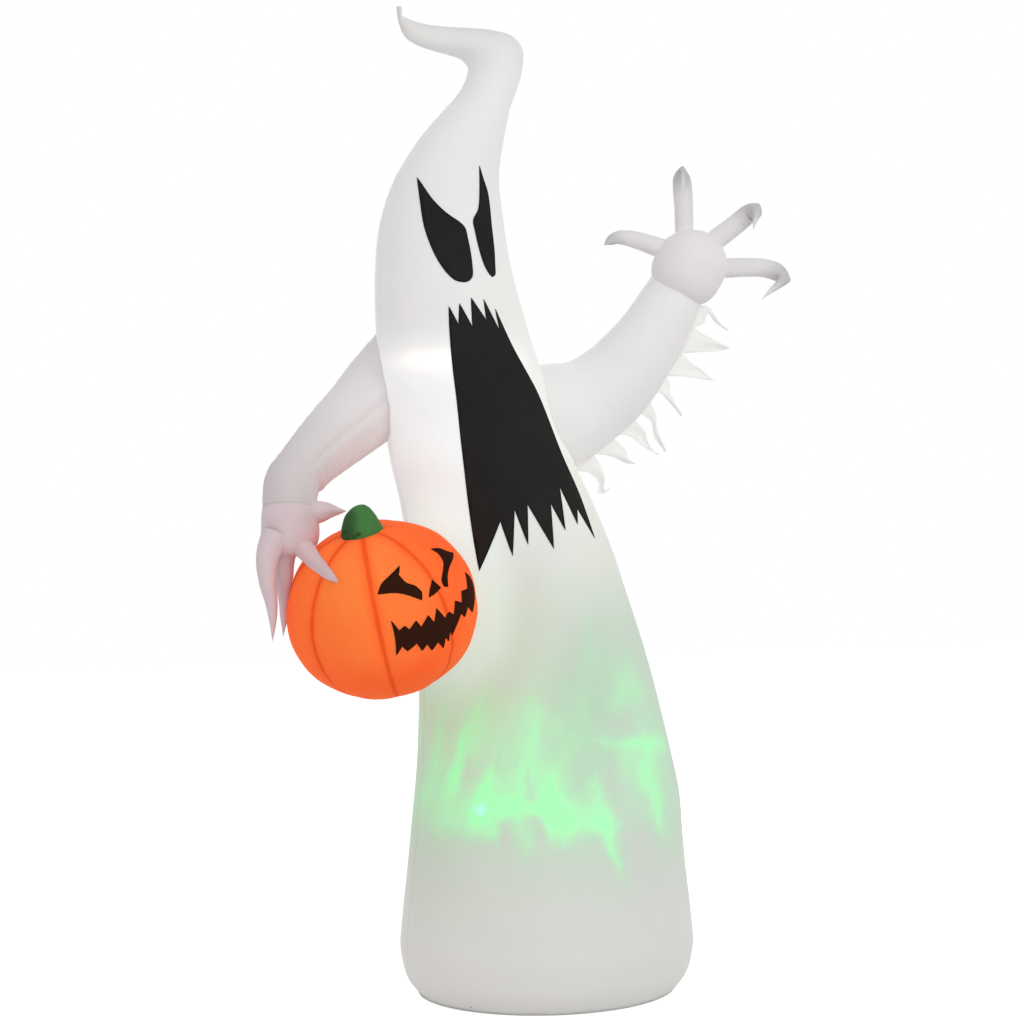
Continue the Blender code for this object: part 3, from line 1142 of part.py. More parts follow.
def body():
    """The two body panels with every opening that passes through them."""
    left_bore = tube_cutter("left_arm_bore", LEFT_ARM_PATH, -SEAM_MARGIN)
    right_bore = tube_cutter("right_arm_bore", RIGHT_ARM_PATH, -SEAM_MARGIN)
    port = as_cutter("blower_port", cylinder_mesh(
        "blower_port", BLOWER_RADIUS + CLEARANCE, -OVERRUN, OVERRUN, BLOWER_SEGMENTS), BLOWER_FRAME)
    slot = as_cutter("zip_slot", box_mesh(
        "zip_slot", (-ZIP_SLOT_WIDTH / 2, -OVERRUN, ZIP_END_STOP),
        (ZIP_SLOT_WIDTH / 2, OVERRUN, ZIP_LENGTH - ZIP_END_STOP)), ZIP_FRAME)
    body_panel("body_front_panel", BACK_HALF, [left_bore, right_bore, pumpkin_vent()])
    body_panel("body_back_panel", FRONT_HALF, [left_bore, right_bore, port, slot])


def main():
    """Build the whole ghost."""
    base_panel()
    body()
    face_patch("mouth_patch", MOUTH_SHARES)
    face_patch("right_eye_patch", RIGHT_EYE_SHARES)
    face_patch("left_eye_patch", LEFT_EYE_SHARES)
    sleeve("left_arm_sleeve", LEFT_ARM_PATH, WHITE_CLOTH)
    left_fringe(left_hand())
    pumpkin()
    sleeve("right_arm_sleeve", RIGHT_ARM_PATH, PINK_CLOTH)
    right_hand()
    blower()
    projector()
    light_tape()
    lamps()
    access_zip()
    loops()
    ballast_bags()


main()
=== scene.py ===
# %% [markdown]
# # An inflatable ghost, lit from inside
#
# The real thing is a yard figure of thin white polyester. A small blower keeps it up, lamps inside
# make it glow, and a turning lens throws green flames on the lower part of the cloth. The CAD frame
# gives every place in metres, so this script only dresses it: cloth that is gathered at its seams,
# black patches sewn on, a tattered fringe, and finishes for the hard parts inside.

import math
from bisect import bisect_right

import bmesh
import bpy
from mathutils import Matrix, Vector, noise
from mathutils.bvhtree import BVHTree


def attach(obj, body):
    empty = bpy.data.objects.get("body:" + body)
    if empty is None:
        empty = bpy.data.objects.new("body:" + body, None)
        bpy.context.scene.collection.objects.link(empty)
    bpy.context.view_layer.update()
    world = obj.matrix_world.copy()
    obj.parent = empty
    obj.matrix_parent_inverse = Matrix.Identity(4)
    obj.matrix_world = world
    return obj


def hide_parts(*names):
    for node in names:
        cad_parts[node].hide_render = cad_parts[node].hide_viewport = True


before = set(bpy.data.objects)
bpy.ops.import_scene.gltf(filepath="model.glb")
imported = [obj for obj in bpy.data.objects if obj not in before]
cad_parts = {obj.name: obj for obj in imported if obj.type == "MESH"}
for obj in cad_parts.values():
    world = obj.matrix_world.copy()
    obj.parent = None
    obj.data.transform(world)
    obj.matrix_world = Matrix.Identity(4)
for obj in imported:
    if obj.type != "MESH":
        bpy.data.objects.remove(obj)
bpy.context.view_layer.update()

# %% [markdown]
# ## Camera, floor and light
#
# The camera stands 5.5 m away, 22 degrees to the ghost's right and a little above its waist. The
# light is plain and soft, so that a colour looks about as it is written. The white around the
# figure is seen by the camera and by shiny things only. It doesn't light the cloth.

# %% Camera and view
CAMERA_PLACE = (-2.182, -5.139, 1.330)
LENS_MM = 70.1
SENSOR_MM = 36
scene = bpy.context.scene
scene.view_settings.view_transform = "Standard"

lens = bpy.data.cameras.new("front_camera")
lens.lens = LENS_MM
lens.sensor_width = SENSOR_MM
camera = bpy.data.objects.new("front_camera", lens)
camera.location = CAMERA_PLACE
camera.rotation_euler = (math.radians(90), 0, math.radians(-22))
scene.collection.objects.link(camera)
scene.camera = camera
print("camera", [round(value, 2) for value in camera.location])


# %% [markdown]
# ## Shader sums as plain sums
#
# A shader is a tree of nodes, and a line such as `1 - mask * 0.4` says more than four boxes. So one
# small class wraps a socket: sums on it add Math nodes, and `node` makes any other kind.

# %% Wire class
class Wire:
    """A socket of a node tree that can be used in sums."""

    def __init__(self, tree, socket=None):
        self.tree = tree
        self.socket = socket

    def node(self, kind, settings=None, feeds=None, output=0):
        """Add a node: its settings first, then its values or links."""
        made = self.tree.nodes.new(kind)
        for key, value in (settings or {}).items():
            setattr(made, key, value)
        for key, value in (feeds or {}).items():
            if isinstance(value, Wire):
                self.tree.links.new(value.socket, made.inputs[key])
            else:
                made.inputs[key].default_value = value
        return Wire(self.tree, made.outputs[output])

    def sum_of(self, operation, first, second=0.0):
        return self.node("ShaderNodeMath", {"operation": operation}, {0: first, 1: second})

    def __add__(self, other):
        return self.sum_of("ADD", self, other)

    def __sub__(self, other):
        return self.sum_of("SUBTRACT", self, other)

    def __rsub__(self, other):
        return self.sum_of("SUBTRACT", other, self)

    def __mul__(self, other):
        return self.sum_of("MULTIPLY", self, other)

    def __truediv__(self, other):
        return self.sum_of("DIVIDE", self, other)

    def __abs__(self):
        return self.sum_of("ABSOLUTE", self)

    def __mod__(self, other):
        return self.sum_of("FLOORED_MODULO", self, other)

    def __or__(self, other):
        return self.sum_of("MAXIMUM", self, other)

    __radd__ = __add__
    __rmul__ = __mul__

    def fade(self, start, end):
        """A smooth step: 0 at start, 1 at end."""
        return self.node("ShaderNodeMapRange", {"interpolation_type": "SMOOTHSTEP"},
                         {"Value": self, "From Min": start, "From Max": end})

    def near(self, middle, reach):
        """1 at a middle value, 0 a reach away from it."""
        return abs(self - middle).fade(reach, 0)

    def mix(self, before, after):
        """One colour where this is 0, another where it is 1."""
        before, after = [
            (*colour, 1) if isinstance(colour, tuple) else colour for colour in (before, after)]
        return self.node("ShaderNodeMix", {"data_type": "RGBA"}, {0: self, 6: before, 7: after}, 2)

    def add(self, before, colour):
        """A colour with another added to it as far as this says."""
        return self.node("ShaderNodeMix", {"data_type": "RGBA", "blend_type": "ADD"},
                         {0: self, 6: before, 7: (*colour, 1)}, 2)

    def ramp(self, top, stops):
        """The colour at a height, read smoothly off a row of heights and greys up to a top."""
        made = self.node("ShaderNodeValToRGB", None, {0: self / top})
        ramp = made.socket.node.color_ramp
        ramp.interpolation = "B_SPLINE"
        for index, (height, colour) in enumerate(stops):
            stop = ramp.elements[index] if index < 2 else ramp.elements.new(1.0)
            stop.position = height / top
            stop.color = (*colour, 1)
        return made

    def away_from(self, point):
        """The distance of a place from a point."""
        return self.node("ShaderNodeVectorMath", {"operation": "DISTANCE"},
                         {0: self, 1: tuple(point)}, "Value")

    def framed(self, middle, lean, size):
        """The place as read in a frame with a middle, a lean and a size of its own."""
        return self.node("ShaderNodeMapping", {"vector_type": "TEXTURE"}, {
            "Vector": self, "Location": middle, "Rotation": (0, lean, 0), "Scale": size})

    def split(self):
        """The three numbers of a vector."""
        parts = self.node("ShaderNodeSeparateXYZ", None, {0: self})
        return [Wire(self.tree, socket) for socket in parts.socket.node.outputs]

    def grain(self, scale, detail=2.0, roughness=0.5):
        """Soft noise between 0 and 1 at a place."""
        return self.node("ShaderNodeTexNoise", None,
                         {"Vector": self, "Scale": scale, "Detail": detail, "Roughness": roughness})


def shaded(colour, share):
    """A colour made darker or brighter."""
    return tuple(value * share for value in colour)


def new_finish(name, roughness, metallic=0.0, specular=0.5):
    """A material with its shader, and the wires for a place on the object and on the cloth."""
    material = bpy.data.materials.new(name)
    material.use_nodes = True
    tree = material.node_tree
    shader = tree.nodes["Principled BSDF"]
    shader.inputs["Roughness"].default_value = roughness
    shader.inputs["Metallic"].default_value = metallic
    shader.inputs["Specular IOR Level"].default_value = specular
    start = Wire(tree)
    place = start.node("ShaderNodeTexCoord", output=3)
    cloth = start.node("ShaderNodeTexCoord", output=2)
    return material, shader, place, cloth


def feed(shader, **wires):
    """Link wires to the shader's sockets, named in lower case."""
    names = {"colour": "Base Color", "roughness": "Roughness", "glow": "Emission Color", "normal": "Normal"}
    for key, wire in wires.items():
        wire.tree.links.new(wire.socket, shader.inputs[names[key]])
        if key == "glow":
            shader.inputs["Emission Strength"].default_value = 1.0


def bumps(height, distance, strength=1.0):
    """A normal from a height in shares of a distance."""
    return height.node("ShaderNodeBump", None, {
        "Height": height, "Distance": distance, "Strength": strength})


# %% [markdown]
# The floor is a large pale sheet that carries a faint shadow. For the camera, and for rays that come
# off gloss or through clear plastic, it and the world are lifted to white.

# %% Floor, world and lamps
FLOOR_SIZE = 12.0
WORLD_LEVEL = 0.62
FLOOR_LIFT_TO_WHITE = 0.62


def seen_directly(start):
    """1 for rays from the camera, off gloss or through clear things."""
    rays = start.node("ShaderNodeLightPath").socket.node.outputs
    camera_ray, glossy, through = [Wire(start.tree, rays[name]) for name in (
        "Is Camera Ray", "Is Glossy Ray", "Is Transmission Ray")]
    return camera_ray | glossy | through


def pale_floor():
    material, shader, place = new_finish("pale_floor", 0.9, specular=0.0)[:3]
    cloudy = place.grain(0.8)
    feed(shader, colour=cloudy.mix((0.78, 0.78, 0.78), (0.82, 0.82, 0.82)))
    lift = seen_directly(place)
    feed(shader, glow=lift.mix((0, 0, 0), (FLOOR_LIFT_TO_WHITE,) * 3))
    bm = bmesh.new()
    bmesh.ops.create_grid(bm, x_segments=8, y_segments=8, size=FLOOR_SIZE)
    mesh = bpy.data.meshes.new("pale_floor")
    bm.to_mesh(mesh)
    bm.free()
    mesh.materials.append(material)
    floor = bpy.data.objects.new("pale_floor", mesh)
    scene.collection.objects.link(floor)


def white_world():
    world = bpy.data.worlds.new("white_world")
    scene.world = world
    world.use_nodes = True
    tree = world.node_tree
    direct = seen_directly(Wire(tree))
    background = tree.nodes["Background"]
    tree.links.new((direct * (1 - WORLD_LEVEL) + WORLD_LEVEL).socket, background.inputs["Strength"])
    background.inputs["Color"].default_value = (1, 1, 1, 1)


def soft_lamp(name, place, aim, size, power):
    lamp = bpy.data.lights.new(name, "AREA")
    lamp.shape = "SQUARE"
    lamp.size = size
    lamp.energy = power
    hung = bpy.data.objects.new(name, lamp)
    hung.location = place
    hung.rotation_euler = (Vector(aim) - Vector(place)).to_track_quat("-Z", "Y").to_euler()
    scene.collection.objects.link(hung)


pale_floor()
white_world()
soft_lamp("key_lamp", (1.6, -5.2, 4.2), (-0.1, 0, 1.3), 4.0, 120)
soft_lamp("side_lamp", (-5.0, -2.0, 2.4), (-0.1, 0, 1.2), 3.0, 35)
soft_lamp("back_lamp", (1.0, 5.0, 3.5), (-0.1, 0, 1.3), 4.0, 60)
print("floor, world and three lamps")

# %% [markdown]
# ## White cloth
#
# Thin polyester, sewn with the allowance inside. Every sewn piece has a UV map in metres: its first
# number is the distance from the nearest seam and its second the distance along it. So the painted
# shade under the seam, the row of stitches and the puckers follow the sewing, and the weave and the
# faint cloudiness read the object's own coordinates. The light of the lamps inside is painted on as
# a glow.

# %% White cloth finish
CLOTH = (0.660, 0.650, 0.634)
STITCH_PITCH = 0.006
STITCH_LINE = 0.005
STITCH_WIDTH = 0.0009
SEAM_SHADE = 0.005
THREADS = 1100
# Heights of the relief in metres
WEAVE_HEIGHT = 0.00012
STITCH_DEPTH = 0.0005
CREASE_HEIGHT = 0.0035
CLOUD_HEIGHT = 0.006


def stitches(cloth):
    """Dashes in a row beside each seam."""
    from_seam, along = cloth.split()[:2]
    row = from_seam.near(STITCH_LINE, STITCH_WIDTH)
    dash = (along % STITCH_PITCH).near(STITCH_PITCH / 2, STITCH_PITCH / 2.6)
    return row * dash


def cloth_relief(place, cloth):
    """Weave, stitches sunk in, and small creases that run out from the seam."""
    from_seam, along = cloth.split()[:2]
    thread = place.grain(THREADS, 1.0)
    crease_place = place.node("ShaderNodeCombineXYZ", None, {
        0: from_seam * 9.0, 1: along * 46.0, 2: 0.0})
    crease = crease_place.grain(1.0, 3.0) * from_seam.fade(0.07, 0.0)
    broad = place.grain(7.0, 3.0)
    height = thread * WEAVE_HEIGHT + stitches(cloth) * -STITCH_DEPTH
    height = height + crease * CREASE_HEIGHT + broad * CLOUD_HEIGHT
    return bumps(height, 1.0, 0.55)


def shaded_cloth(place, cloth, light, dark, seam_shade_share=0.45):
    """Cloudy cloth colour, with painted shade in the seam and on its sunk stitches."""
    cloudy = place.grain(3.5, 4.0).fade(0.25, 0.8)
    from_seam = cloth.split()[0]
    # Painted shade where the seam and its stitches sink in.
    sunk = from_seam.fade(SEAM_SHADE, 0.0) * seam_shade_share + stitches(cloth) * seam_shade_share * 0.8
    deep = shaded(dark, 0.72)
    return sunk.mix(cloudy.mix(light, dark), deep)


def white_cloth(name, glow, tint=CLOTH, root=None):
    """White cloth with a cloudy glow from inside, brighter towards a root if it has one."""
    material, shader, place, cloth = new_finish(name, 0.62, specular=0.25)
    feed(shader, colour=shaded_cloth(place, cloth, tint, shaded(tint, 0.965)))
    cloudy = place.grain(5.0, 2.0)
    light = cloudy.mix(shaded(glow, 0.88), shaded(glow, 1.1))
    if root:
        light = place.split()[0].fade(*root).add(light, (0.050, 0.048, 0.040))
    feed(shader, glow=light)
    feed(shader, normal=cloth_relief(place, cloth))
    return material


LEFT_ARM_CLOTH = white_cloth("left_arm_cloth", (0.165, 0.160, 0.172), root=(0.22, -0.04))
FRINGE_CLOTH = white_cloth("fringe_cloth", (0.255, 0.255, 0.248))
BOOT_CLOTH = white_cloth("boot_cloth", (0.06, 0.06, 0.06))
BASE_CLOTH = white_cloth("base_cloth", (0.0, 0.0, 0.0))
print("white cloths")

# %% [markdown]
# The body is what the light shows off. It glows from the lamps behind it, by height, most in the
# chest and in a short band beside the mouth. Below, the projector throws flames on the front: each
# lick is a tapered mask in the projector's own axes, over a soft green haze. Thin streaks vary the
# licks, and a few darker gaps and one patch of painted shade are taken away again. All of it is
# painted light and shade in the cloth's own colour and glow, so it stays put from every side.

# %% Body cloth with flame light
BEAM_TURN = math.radians(22)
# The flame light painted into the cloth's colour, and the glow it adds
FLAME_LIGHT_COLOUR = (0.40, 0.87, 0.47)
FLAME_GLOW = (0.05, 0.30, 0.09)
# Where the projector's light is bluest, painted in the glow: across and up in metres
BLUE_LIGHT_SPOT = (-0.178, 0.540)
# Thin streaks in the flames: their lean and their size
STREAK_LEAN = 0.30
STREAK_SIZE = (0.048, 1, 0.20)
# A patch of painted shade, a darker colour, that the flames leave between them: its middle and its size
SHADE_PATCH_MIDDLE = (0.10, 0, 0.79)
SHADE_PATCH_SIZE = (0.12, 1, 0.24)
SHADE_PATCH_SHARE = 0.13

# Each lick: its root and its tip (across, up) in metres, its half width and its strength
LICKS = (
    ((-0.18, 0.50), (-0.16, 0.67), 0.058, 0.44), ((-0.14, 0.55), (0.04, 0.55), 0.036, 0.24),
    ((0.06, 0.49), (-0.02, 0.66), 0.070, 0.40), ((0.13, 0.50), (0.12, 0.64), 0.048, 0.30),
    ((0.14, 0.52), (0.21, 0.32), 0.034, 0.44), ((-0.07, 0.50), (-0.04, 0.88), 0.225, 0.31),
    ((-0.05, 0.56), (-0.04, 0.90), 0.060, 0.20), ((-0.27, 0.60), (-0.21, 0.78), 0.021, 0.42),
    ((-0.23, 0.70), (-0.14, 0.92), 0.042, 0.16), ((-0.32, 0.54), (-0.28, 0.84), 0.040, 0.22),
    ((-0.26, 0.49), (-0.26, 0.65), 0.058, 0.10), ((0.34, 0.69), (0.10, 0.72), 0.030, 0.22),
    ((0.24, 0.71), (0.35, 0.39), 0.080, 0.19), ((0.27, 0.63), (0.31, 0.45), 0.028, 0.26),
    ((0.09, 0.73), (0.09, 0.88), 0.048, 0.06), ((0.19, 0.80), (0.19, 0.92), 0.053, 0.10),
    ((0.11, 0.92), (0.11, 1.10), 0.037, 0.10), ((0.23, 0.83), (0.22, 1.00), 0.037, 0.10),
    ((-0.06, 0.47), (-0.04, 0.35), 0.024, 0.10))
# Darker gaps in the painted flame light between the licks, in the same form
FLAME_GAPS = (
    ((0.17, 0.59), (0.16, 0.71), 0.032, -0.08), ((0.10, 0.61), (0.08, 0.70), 0.042, -0.05),
    ((0.22, 0.72), (0.21, 0.83), 0.069, -0.06), ((-0.11, 0.52), (-0.11, 0.42), 0.029, -0.26),
    ((-0.03, 0.52), (-0.02, 0.44), 0.029, -0.22), ((-0.22, 0.62), (-0.23, 0.70), 0.026, -0.08),
    ((0.24, 0.47), (0.27, 0.34), 0.045, -0.10), ((-0.05, 0.57), (-0.06, 0.67), 0.026, -0.24))


def flame_light(place):
    """How much green light falls on the cloth, where it is bluest, and where a patch of painted shade lies.
    """
    beam = place.node("ShaderNodeMapping", None, {"Vector": place, "Rotation": (0, 0, BEAM_TURN)})
    across, depth, up = beam.split()
    wave = place.grain(7.0, 2.0) - 0.5
    flutter = place.grain(18.0, 2.0) - 0.5
    bent = place.node("ShaderNodeCombineXYZ", None, {
        0: across + wave * 0.05 + flutter * 0.022, 1: 0.0, 2: up + flutter * 0.035})
    total = None
    for root, tip, half_width, strength in LICKS + FLAME_GAPS:
        way = Vector(tip) - Vector(root)
        lean = math.atan2(way.x, way.y)
        own = bent.framed((root[0], 0, root[1]), lean, (half_width, 1, way.length))
        side, rise = own.split()[::2]
        taper = (abs(side) + rise * 0.8).fade(1.45, 0.15)
        lick = taper * rise.fade(-0.30, 0.16) * rise.fade(1.15, 0.7) * strength
        total = lick if total is None else total + lick
    streak = bent.framed((0, 0, 0), STREAK_LEAN, STREAK_SIZE).grain(1.0, 2.0)
    total = total * (streak.fade(0.32, 0.68) * 0.46 + 0.79)
    haze = up.fade(1.25, 0.80) * up.fade(0.30, 0.55)
    patchy = place.grain(5.0, 3.0).fade(0.30, 0.72)
    wide_haze = up.fade(0.10, 0.42) * up.fade(1.35, 0.9)
    haze = haze * (patchy * 0.12 + 0.21) + wide_haze * (patchy * 0.05 + 0.085)
    front = depth.fade(0.10, -0.08)
    blue = bent.away_from((BLUE_LIGHT_SPOT[0], 0, BLUE_LIGHT_SPOT[1])).fade(0.030, 0.004)
    dull = bent.framed(SHADE_PATCH_MIDDLE, 0, SHADE_PATCH_SIZE).away_from((0, 0, 0)).fade(1.35, 0.2)
    return (total * front + haze * (front * 0.75 + 0.25)) | 0.0, blue * front, dull * front


# Glow from inside by height in metres
BODY_GLOW = (
    (0.00, (0.110, 0.110, 0.105)), (0.24, (0.098, 0.100, 0.090)), (0.38, (0.054, 0.062, 0.052)),
    (0.60, (0.046, 0.050, 0.042)), (0.90, (0.040, 0.040, 0.036)), (1.15, (0.050, 0.058, 0.044)),
    (1.32, (0.105, 0.110, 0.095)), (1.50, (0.140, 0.140, 0.135)), (1.70, (0.165, 0.165, 0.165)),
    (1.88, (0.190, 0.190, 0.192)), (2.08, (0.172, 0.174, 0.178)), (2.28, (0.175, 0.178, 0.182)),
    (2.45, (0.178, 0.178, 0.180)), (2.56, (0.165, 0.165, 0.168)), (2.63, (0.115, 0.110, 0.112)),
    (2.70, (0.060, 0.055, 0.055)))
GLOW_TOP = 2.8
PUMPKIN_MIDDLE = (-0.560, -0.227, 1.079)
# The bright band beside the mouth
BAND_HEIGHT = 1.735


def body_cloth(name, chest_share):
    """The body's cloth, with its glow by height and the green light thrown on it."""
    material, shader, place, cloth = new_finish(name, 0.62, specular=0.25)
    plain = shaded_cloth(place, cloth, CLOTH, shaded(CLOTH, 0.965), 0.15)
    flame, blue, dull = flame_light(place)
    # Painted shade in the patch between the flames, then the painted flame light, both in the cloth's
    # colour
    plain = (dull * SHADE_PATCH_SHARE).mix(plain, (0, 0, 0))
    feed(shader, colour=flame.mix(plain, FLAME_LIGHT_COLOUR))
    x, y, z = place.split()
    away = place.away_from(PUMPKIN_MIDDLE)
    cheek = x.fade(-0.36, 0.02) * z.fade(1.25, 1.6) * z.fade(2.3, 2.0)
    beside_pumpkin = x.fade(-0.16, 0.02) * z.fade(0.98, 1.25) * z.fade(1.78, 1.5)
    chest = z.fade(1.20, 1.54) * z.fade(1.88, 1.66) * x.fade(0.06, -0.28) * chest_share
    at_pumpkin = away.fade(0.42, 0.27) * chest_share
    round_pumpkin = away.fade(0.60, 0.36) * chest_share
    over_pumpkin = away.fade(0.60, 0.36) * z.fade(1.05, 1.35) * chest_share
    band = z.near(BAND_HEIGHT, 0.085) * 0.45 + z.near(BAND_HEIGHT, 0.040) * 0.55
    band = band * x.fade(-0.08, -0.25) * y.fade(0.20, 0.0) * x.fade(-0.515, -0.425) * chest_share
    white = z.ramp(GLOW_TOP, BODY_GLOW)
    # Painted light added to the glow: on the cheek, beside the pumpkin, in the chest, round and over the
    # pumpkin, in the band beside the mouth, and close to the pumpkin a cyan light that lifts the shade
    # there and offsets the pumpkin's orange light.
    for share, light in ((cheek, (0.060, 0.060, 0.045)), (beside_pumpkin, (0.085, 0.090, 0.070)),
                         (chest, (0.155, 0.175, 0.190)), (at_pumpkin, (0.12, 0.31, 0.31)),
                         (round_pumpkin, (0.060, 0.055, 0.040)), (over_pumpkin, (0.0, 0.055, 0.075)),
                         (band, (0.24, 0.22, 0.20))):
        white = share.add(white, light)
    white = flame.fade(0.25, 1.05).mix(white, FLAME_GLOW)
    feed(shader, glow=(blue * 0.8).add(white, (0.10, 0.06, 0.38)))
    feed(shader, normal=cloth_relief(place, cloth))
    return material


FRONT_CLOTH = body_cloth("front_cloth", 1.0)
BACK_CLOTH = body_cloth("back_cloth", 0.85)
print("body cloths,", len(LICKS), "licks of flame and", len(FLAME_GAPS), "hollows")

# %% [markdown]
# The right arm and hand pick up pink light from the pumpkin, painted into their colour. The nearer
# the pumpkin, the pinker. The left hand's cloth has painted shade where it folds over to each claw: a
# greyer colour and less glow.

# %% Arm and hand cloths
PUMPKIN_GLOW_PLACE = (-0.56, -0.23, 1.10)


def pink_cloth(name, tint, pink_lit_tint, glow, reach, outer_glow=None):
    """White cloth with the pumpkin's pink light painted into its colour, and less glow on its outer side if
    told.
    """
    material, shader, place, cloth = new_finish(name, 0.62, specular=0.2)
    away = place.away_from(PUMPKIN_GLOW_PLACE)
    # Painted pink light from the pumpkin, stronger nearer it
    pumpkin_light_share = away.fade(reach, 0.16)
    cool = shaded_cloth(place, cloth, tint, shaded(tint, 0.96))
    pink = shaded_cloth(place, cloth, pink_lit_tint, shaded(pink_lit_tint, 0.95))
    feed(shader, colour=pumpkin_light_share.mix(cool, pink))
    light = place.grain(5.0, 2.0).mix(glow, shaded(glow, 1.3))
    if outer_glow:
        light = place.split()[0].fade(-0.86, -0.58).mix(outer_glow, light)
    feed(shader, glow=light)
    feed(shader, normal=cloth_relief(place, cloth))
    return material


def clawed_cloth(name, tint, claw_shade_tint, glow, finger_glow, claw_glow, palm_centre, corners):
    """White cloth that glows less away from the palm, with painted shade near a few corners: a greyer
    colour and less glow.
    """
    material, shader, place, cloth = new_finish(name, 0.62, specular=0.2)
    claw = None
    for corner in corners:
        away = place.away_from(corner)
        near = away.fade(0.095, 0.030)
        claw = near if claw is None else claw | near
    away = place.away_from(palm_centre)
    plain = shaded_cloth(place, cloth, tint, shaded(tint, 0.965))
    # Painted shade near each claw: a greyer colour here and less glow below
    feed(shader, colour=claw.mix(plain, claw_shade_tint))
    feed(shader, glow=claw.mix(away.fade(0.085, 0.125).mix(glow, finger_glow), claw_glow))
    feed(shader, normal=cloth_relief(place, cloth))
    return material


RIGHT_ARM_CLOTH = pink_cloth("right_arm_cloth", (0.67, 0.645, 0.65), (0.59, 0.515, 0.515),
                             (0.080, 0.072, 0.076), 0.66, (0.004, 0.0, 0.0))
RIGHT_HAND_CLOTH = pink_cloth("right_hand_cloth", (0.60, 0.50, 0.52), (0.62, 0.42, 0.43),
                              (0.065, 0.050, 0.055), 0.34)
print("arm cloths")

# %% [markdown]
# ## Pumpkin, stem and black cloth
#
# The pumpkin is orange cloth with a lamp in it. The lamp's light is painted as a glow: bright between
# its seams and a redder orange towards the edge. Its colour has a dark, slightly wobbly line along
# each seam, with painted shade beside it. The face patches are matt black cloth.

# %% Orange, green and black finishes
ORANGE = (0.92, 0.165, 0.040)
# Used both for random patches in the cloth and for the painted shade beside its seams
ORANGE_PATCH_AND_SHADE = (0.90, 0.125, 0.028)
ORANGE_SEAM = (0.83, 0.088, 0.012)
BRIGHTEST_ORANGE_PLACE = (-0.69, -0.43, 1.14)


def orange_cloth():
    material, shader, place, cloth = new_finish("orange_cloth", 0.7, specular=0.06)
    from_seam = cloth.split()[0]
    wobble = place.grain(22.0, 2.0) - 0.5
    line = (from_seam + wobble * 0.007).fade(0.0088, 0.0030)
    shade = (from_seam + wobble * 0.01).fade(0.026, 0.0)
    patchy = place.grain(6.0, 3.0).fade(0.3, 0.75)
    colour = patchy.mix(ORANGE, ORANGE_PATCH_AND_SHADE)
    # Painted shade beside each seam
    colour = (shade * 0.5).mix(colour, ORANGE_PATCH_AND_SHADE)
    colour = (line * 0.78).mix(colour, ORANGE_SEAM)
    feed(shader, colour=colour)
    away = place.away_from(BRIGHTEST_ORANGE_PLACE)
    middle = away.fade(0.28, 0.02) * from_seam.fade(0.0, 0.032)
    glow = middle.mix((0.22, 0.020, 0.002), (0.15, 0.085, 0.014))
    feed(shader, glow=(line * 0.75).mix(glow, (0.06, 0.0, 0.0)))
    feed(shader, normal=cloth_relief(place, cloth))
    return material


def green_cloth():
    """Green cloth with painted shade on its far side and in its crumples, and darker at its sewn rim."""
    material, shader, place, cloth = new_finish("green_cloth", 0.7, specular=0.12)
    x = place.split()[0]
    along = cloth.split()[1]
    # Painted shade on the far side and in the crumples; the sewn rim is darker too
    side = (x + place.grain(24.0, 3.0) * 0.03).fade(-0.662, -0.634)
    crumple = place.grain(46.0, 3.0).fade(0.56, 0.68)
    crumple = crumple * along.fade(0.050, 0.026) * x.fade(-0.600, -0.640)
    rim = along.fade(0.020, 0.013)
    dark = (crumple * 0.75) | (rim * 0.7)
    colour = side.mix((0.030, 0.085, 0.026), (0.056, 0.190, 0.050))
    feed(shader, colour=dark.mix(colour, (0.010, 0.030, 0.008)))
    feed(shader, normal=cloth_relief(place, cloth))
    return material


def black_cloth(name, shade):
    material, shader, place = new_finish(name, 0.85, specular=0.06)[:3]
    fine = place.grain(140.0, 3.0)
    broad = place.grain(5.0, 3.0)
    light = shaded(shade, 1.5)
    feed(shader, colour=(fine * 0.4 + broad * 0.6).fade(0.3, 0.75).mix(shade, light))
    feed(shader, roughness=fine * 0.12 + 0.76)
    feed(shader, normal=bumps(place.grain(THREADS, 1.0) * 0.00015 + broad * 0.004, 1.0, 0.5))
    return material


ORANGE_CLOTH = orange_cloth()
GREEN_CLOTH = green_cloth()
BLACK_CLOTH = black_cloth("black_cloth", (0.0150, 0.0148, 0.0142))
PUMPKIN_BLACK_CLOTH = black_cloth("pumpkin_black_cloth", (0.0230, 0.0062, 0.0025))
print("orange, green and black cloths")

# %% [markdown]
# ## Webbing and the hard parts
#
# Webbing is woven in ribs across its length. The hard parts inside are moulded plastic with a fine
# texture, clear plastic that passes lamp light, and metal with a brushed grain.

# %% Webbing, plastic and metal finishes
RIB_PITCH = 0.0018
WEFT_PITCH = 0.0024


def webbing():
    material, shader, place, cloth = new_finish("webbing", 0.75, specular=0.2)
    edge, along = cloth.split()[:2]
    rib = (along % RIB_PITCH).near(RIB_PITCH / 2, RIB_PITCH / 2)
    weft = (edge % WEFT_PITCH).near(WEFT_PITCH / 2, WEFT_PITCH / 2)
    worn = place.grain(40.0, 3.0)
    colour = (rib * 0.5 + worn * 0.5).mix((0.44, 0.44, 0.43), (0.66, 0.66, 0.64))
    feed(shader, colour=colour)
    feed(shader, normal=bumps((rib + weft * 0.4) * 0.0003, 1.0, 0.8))
    return material


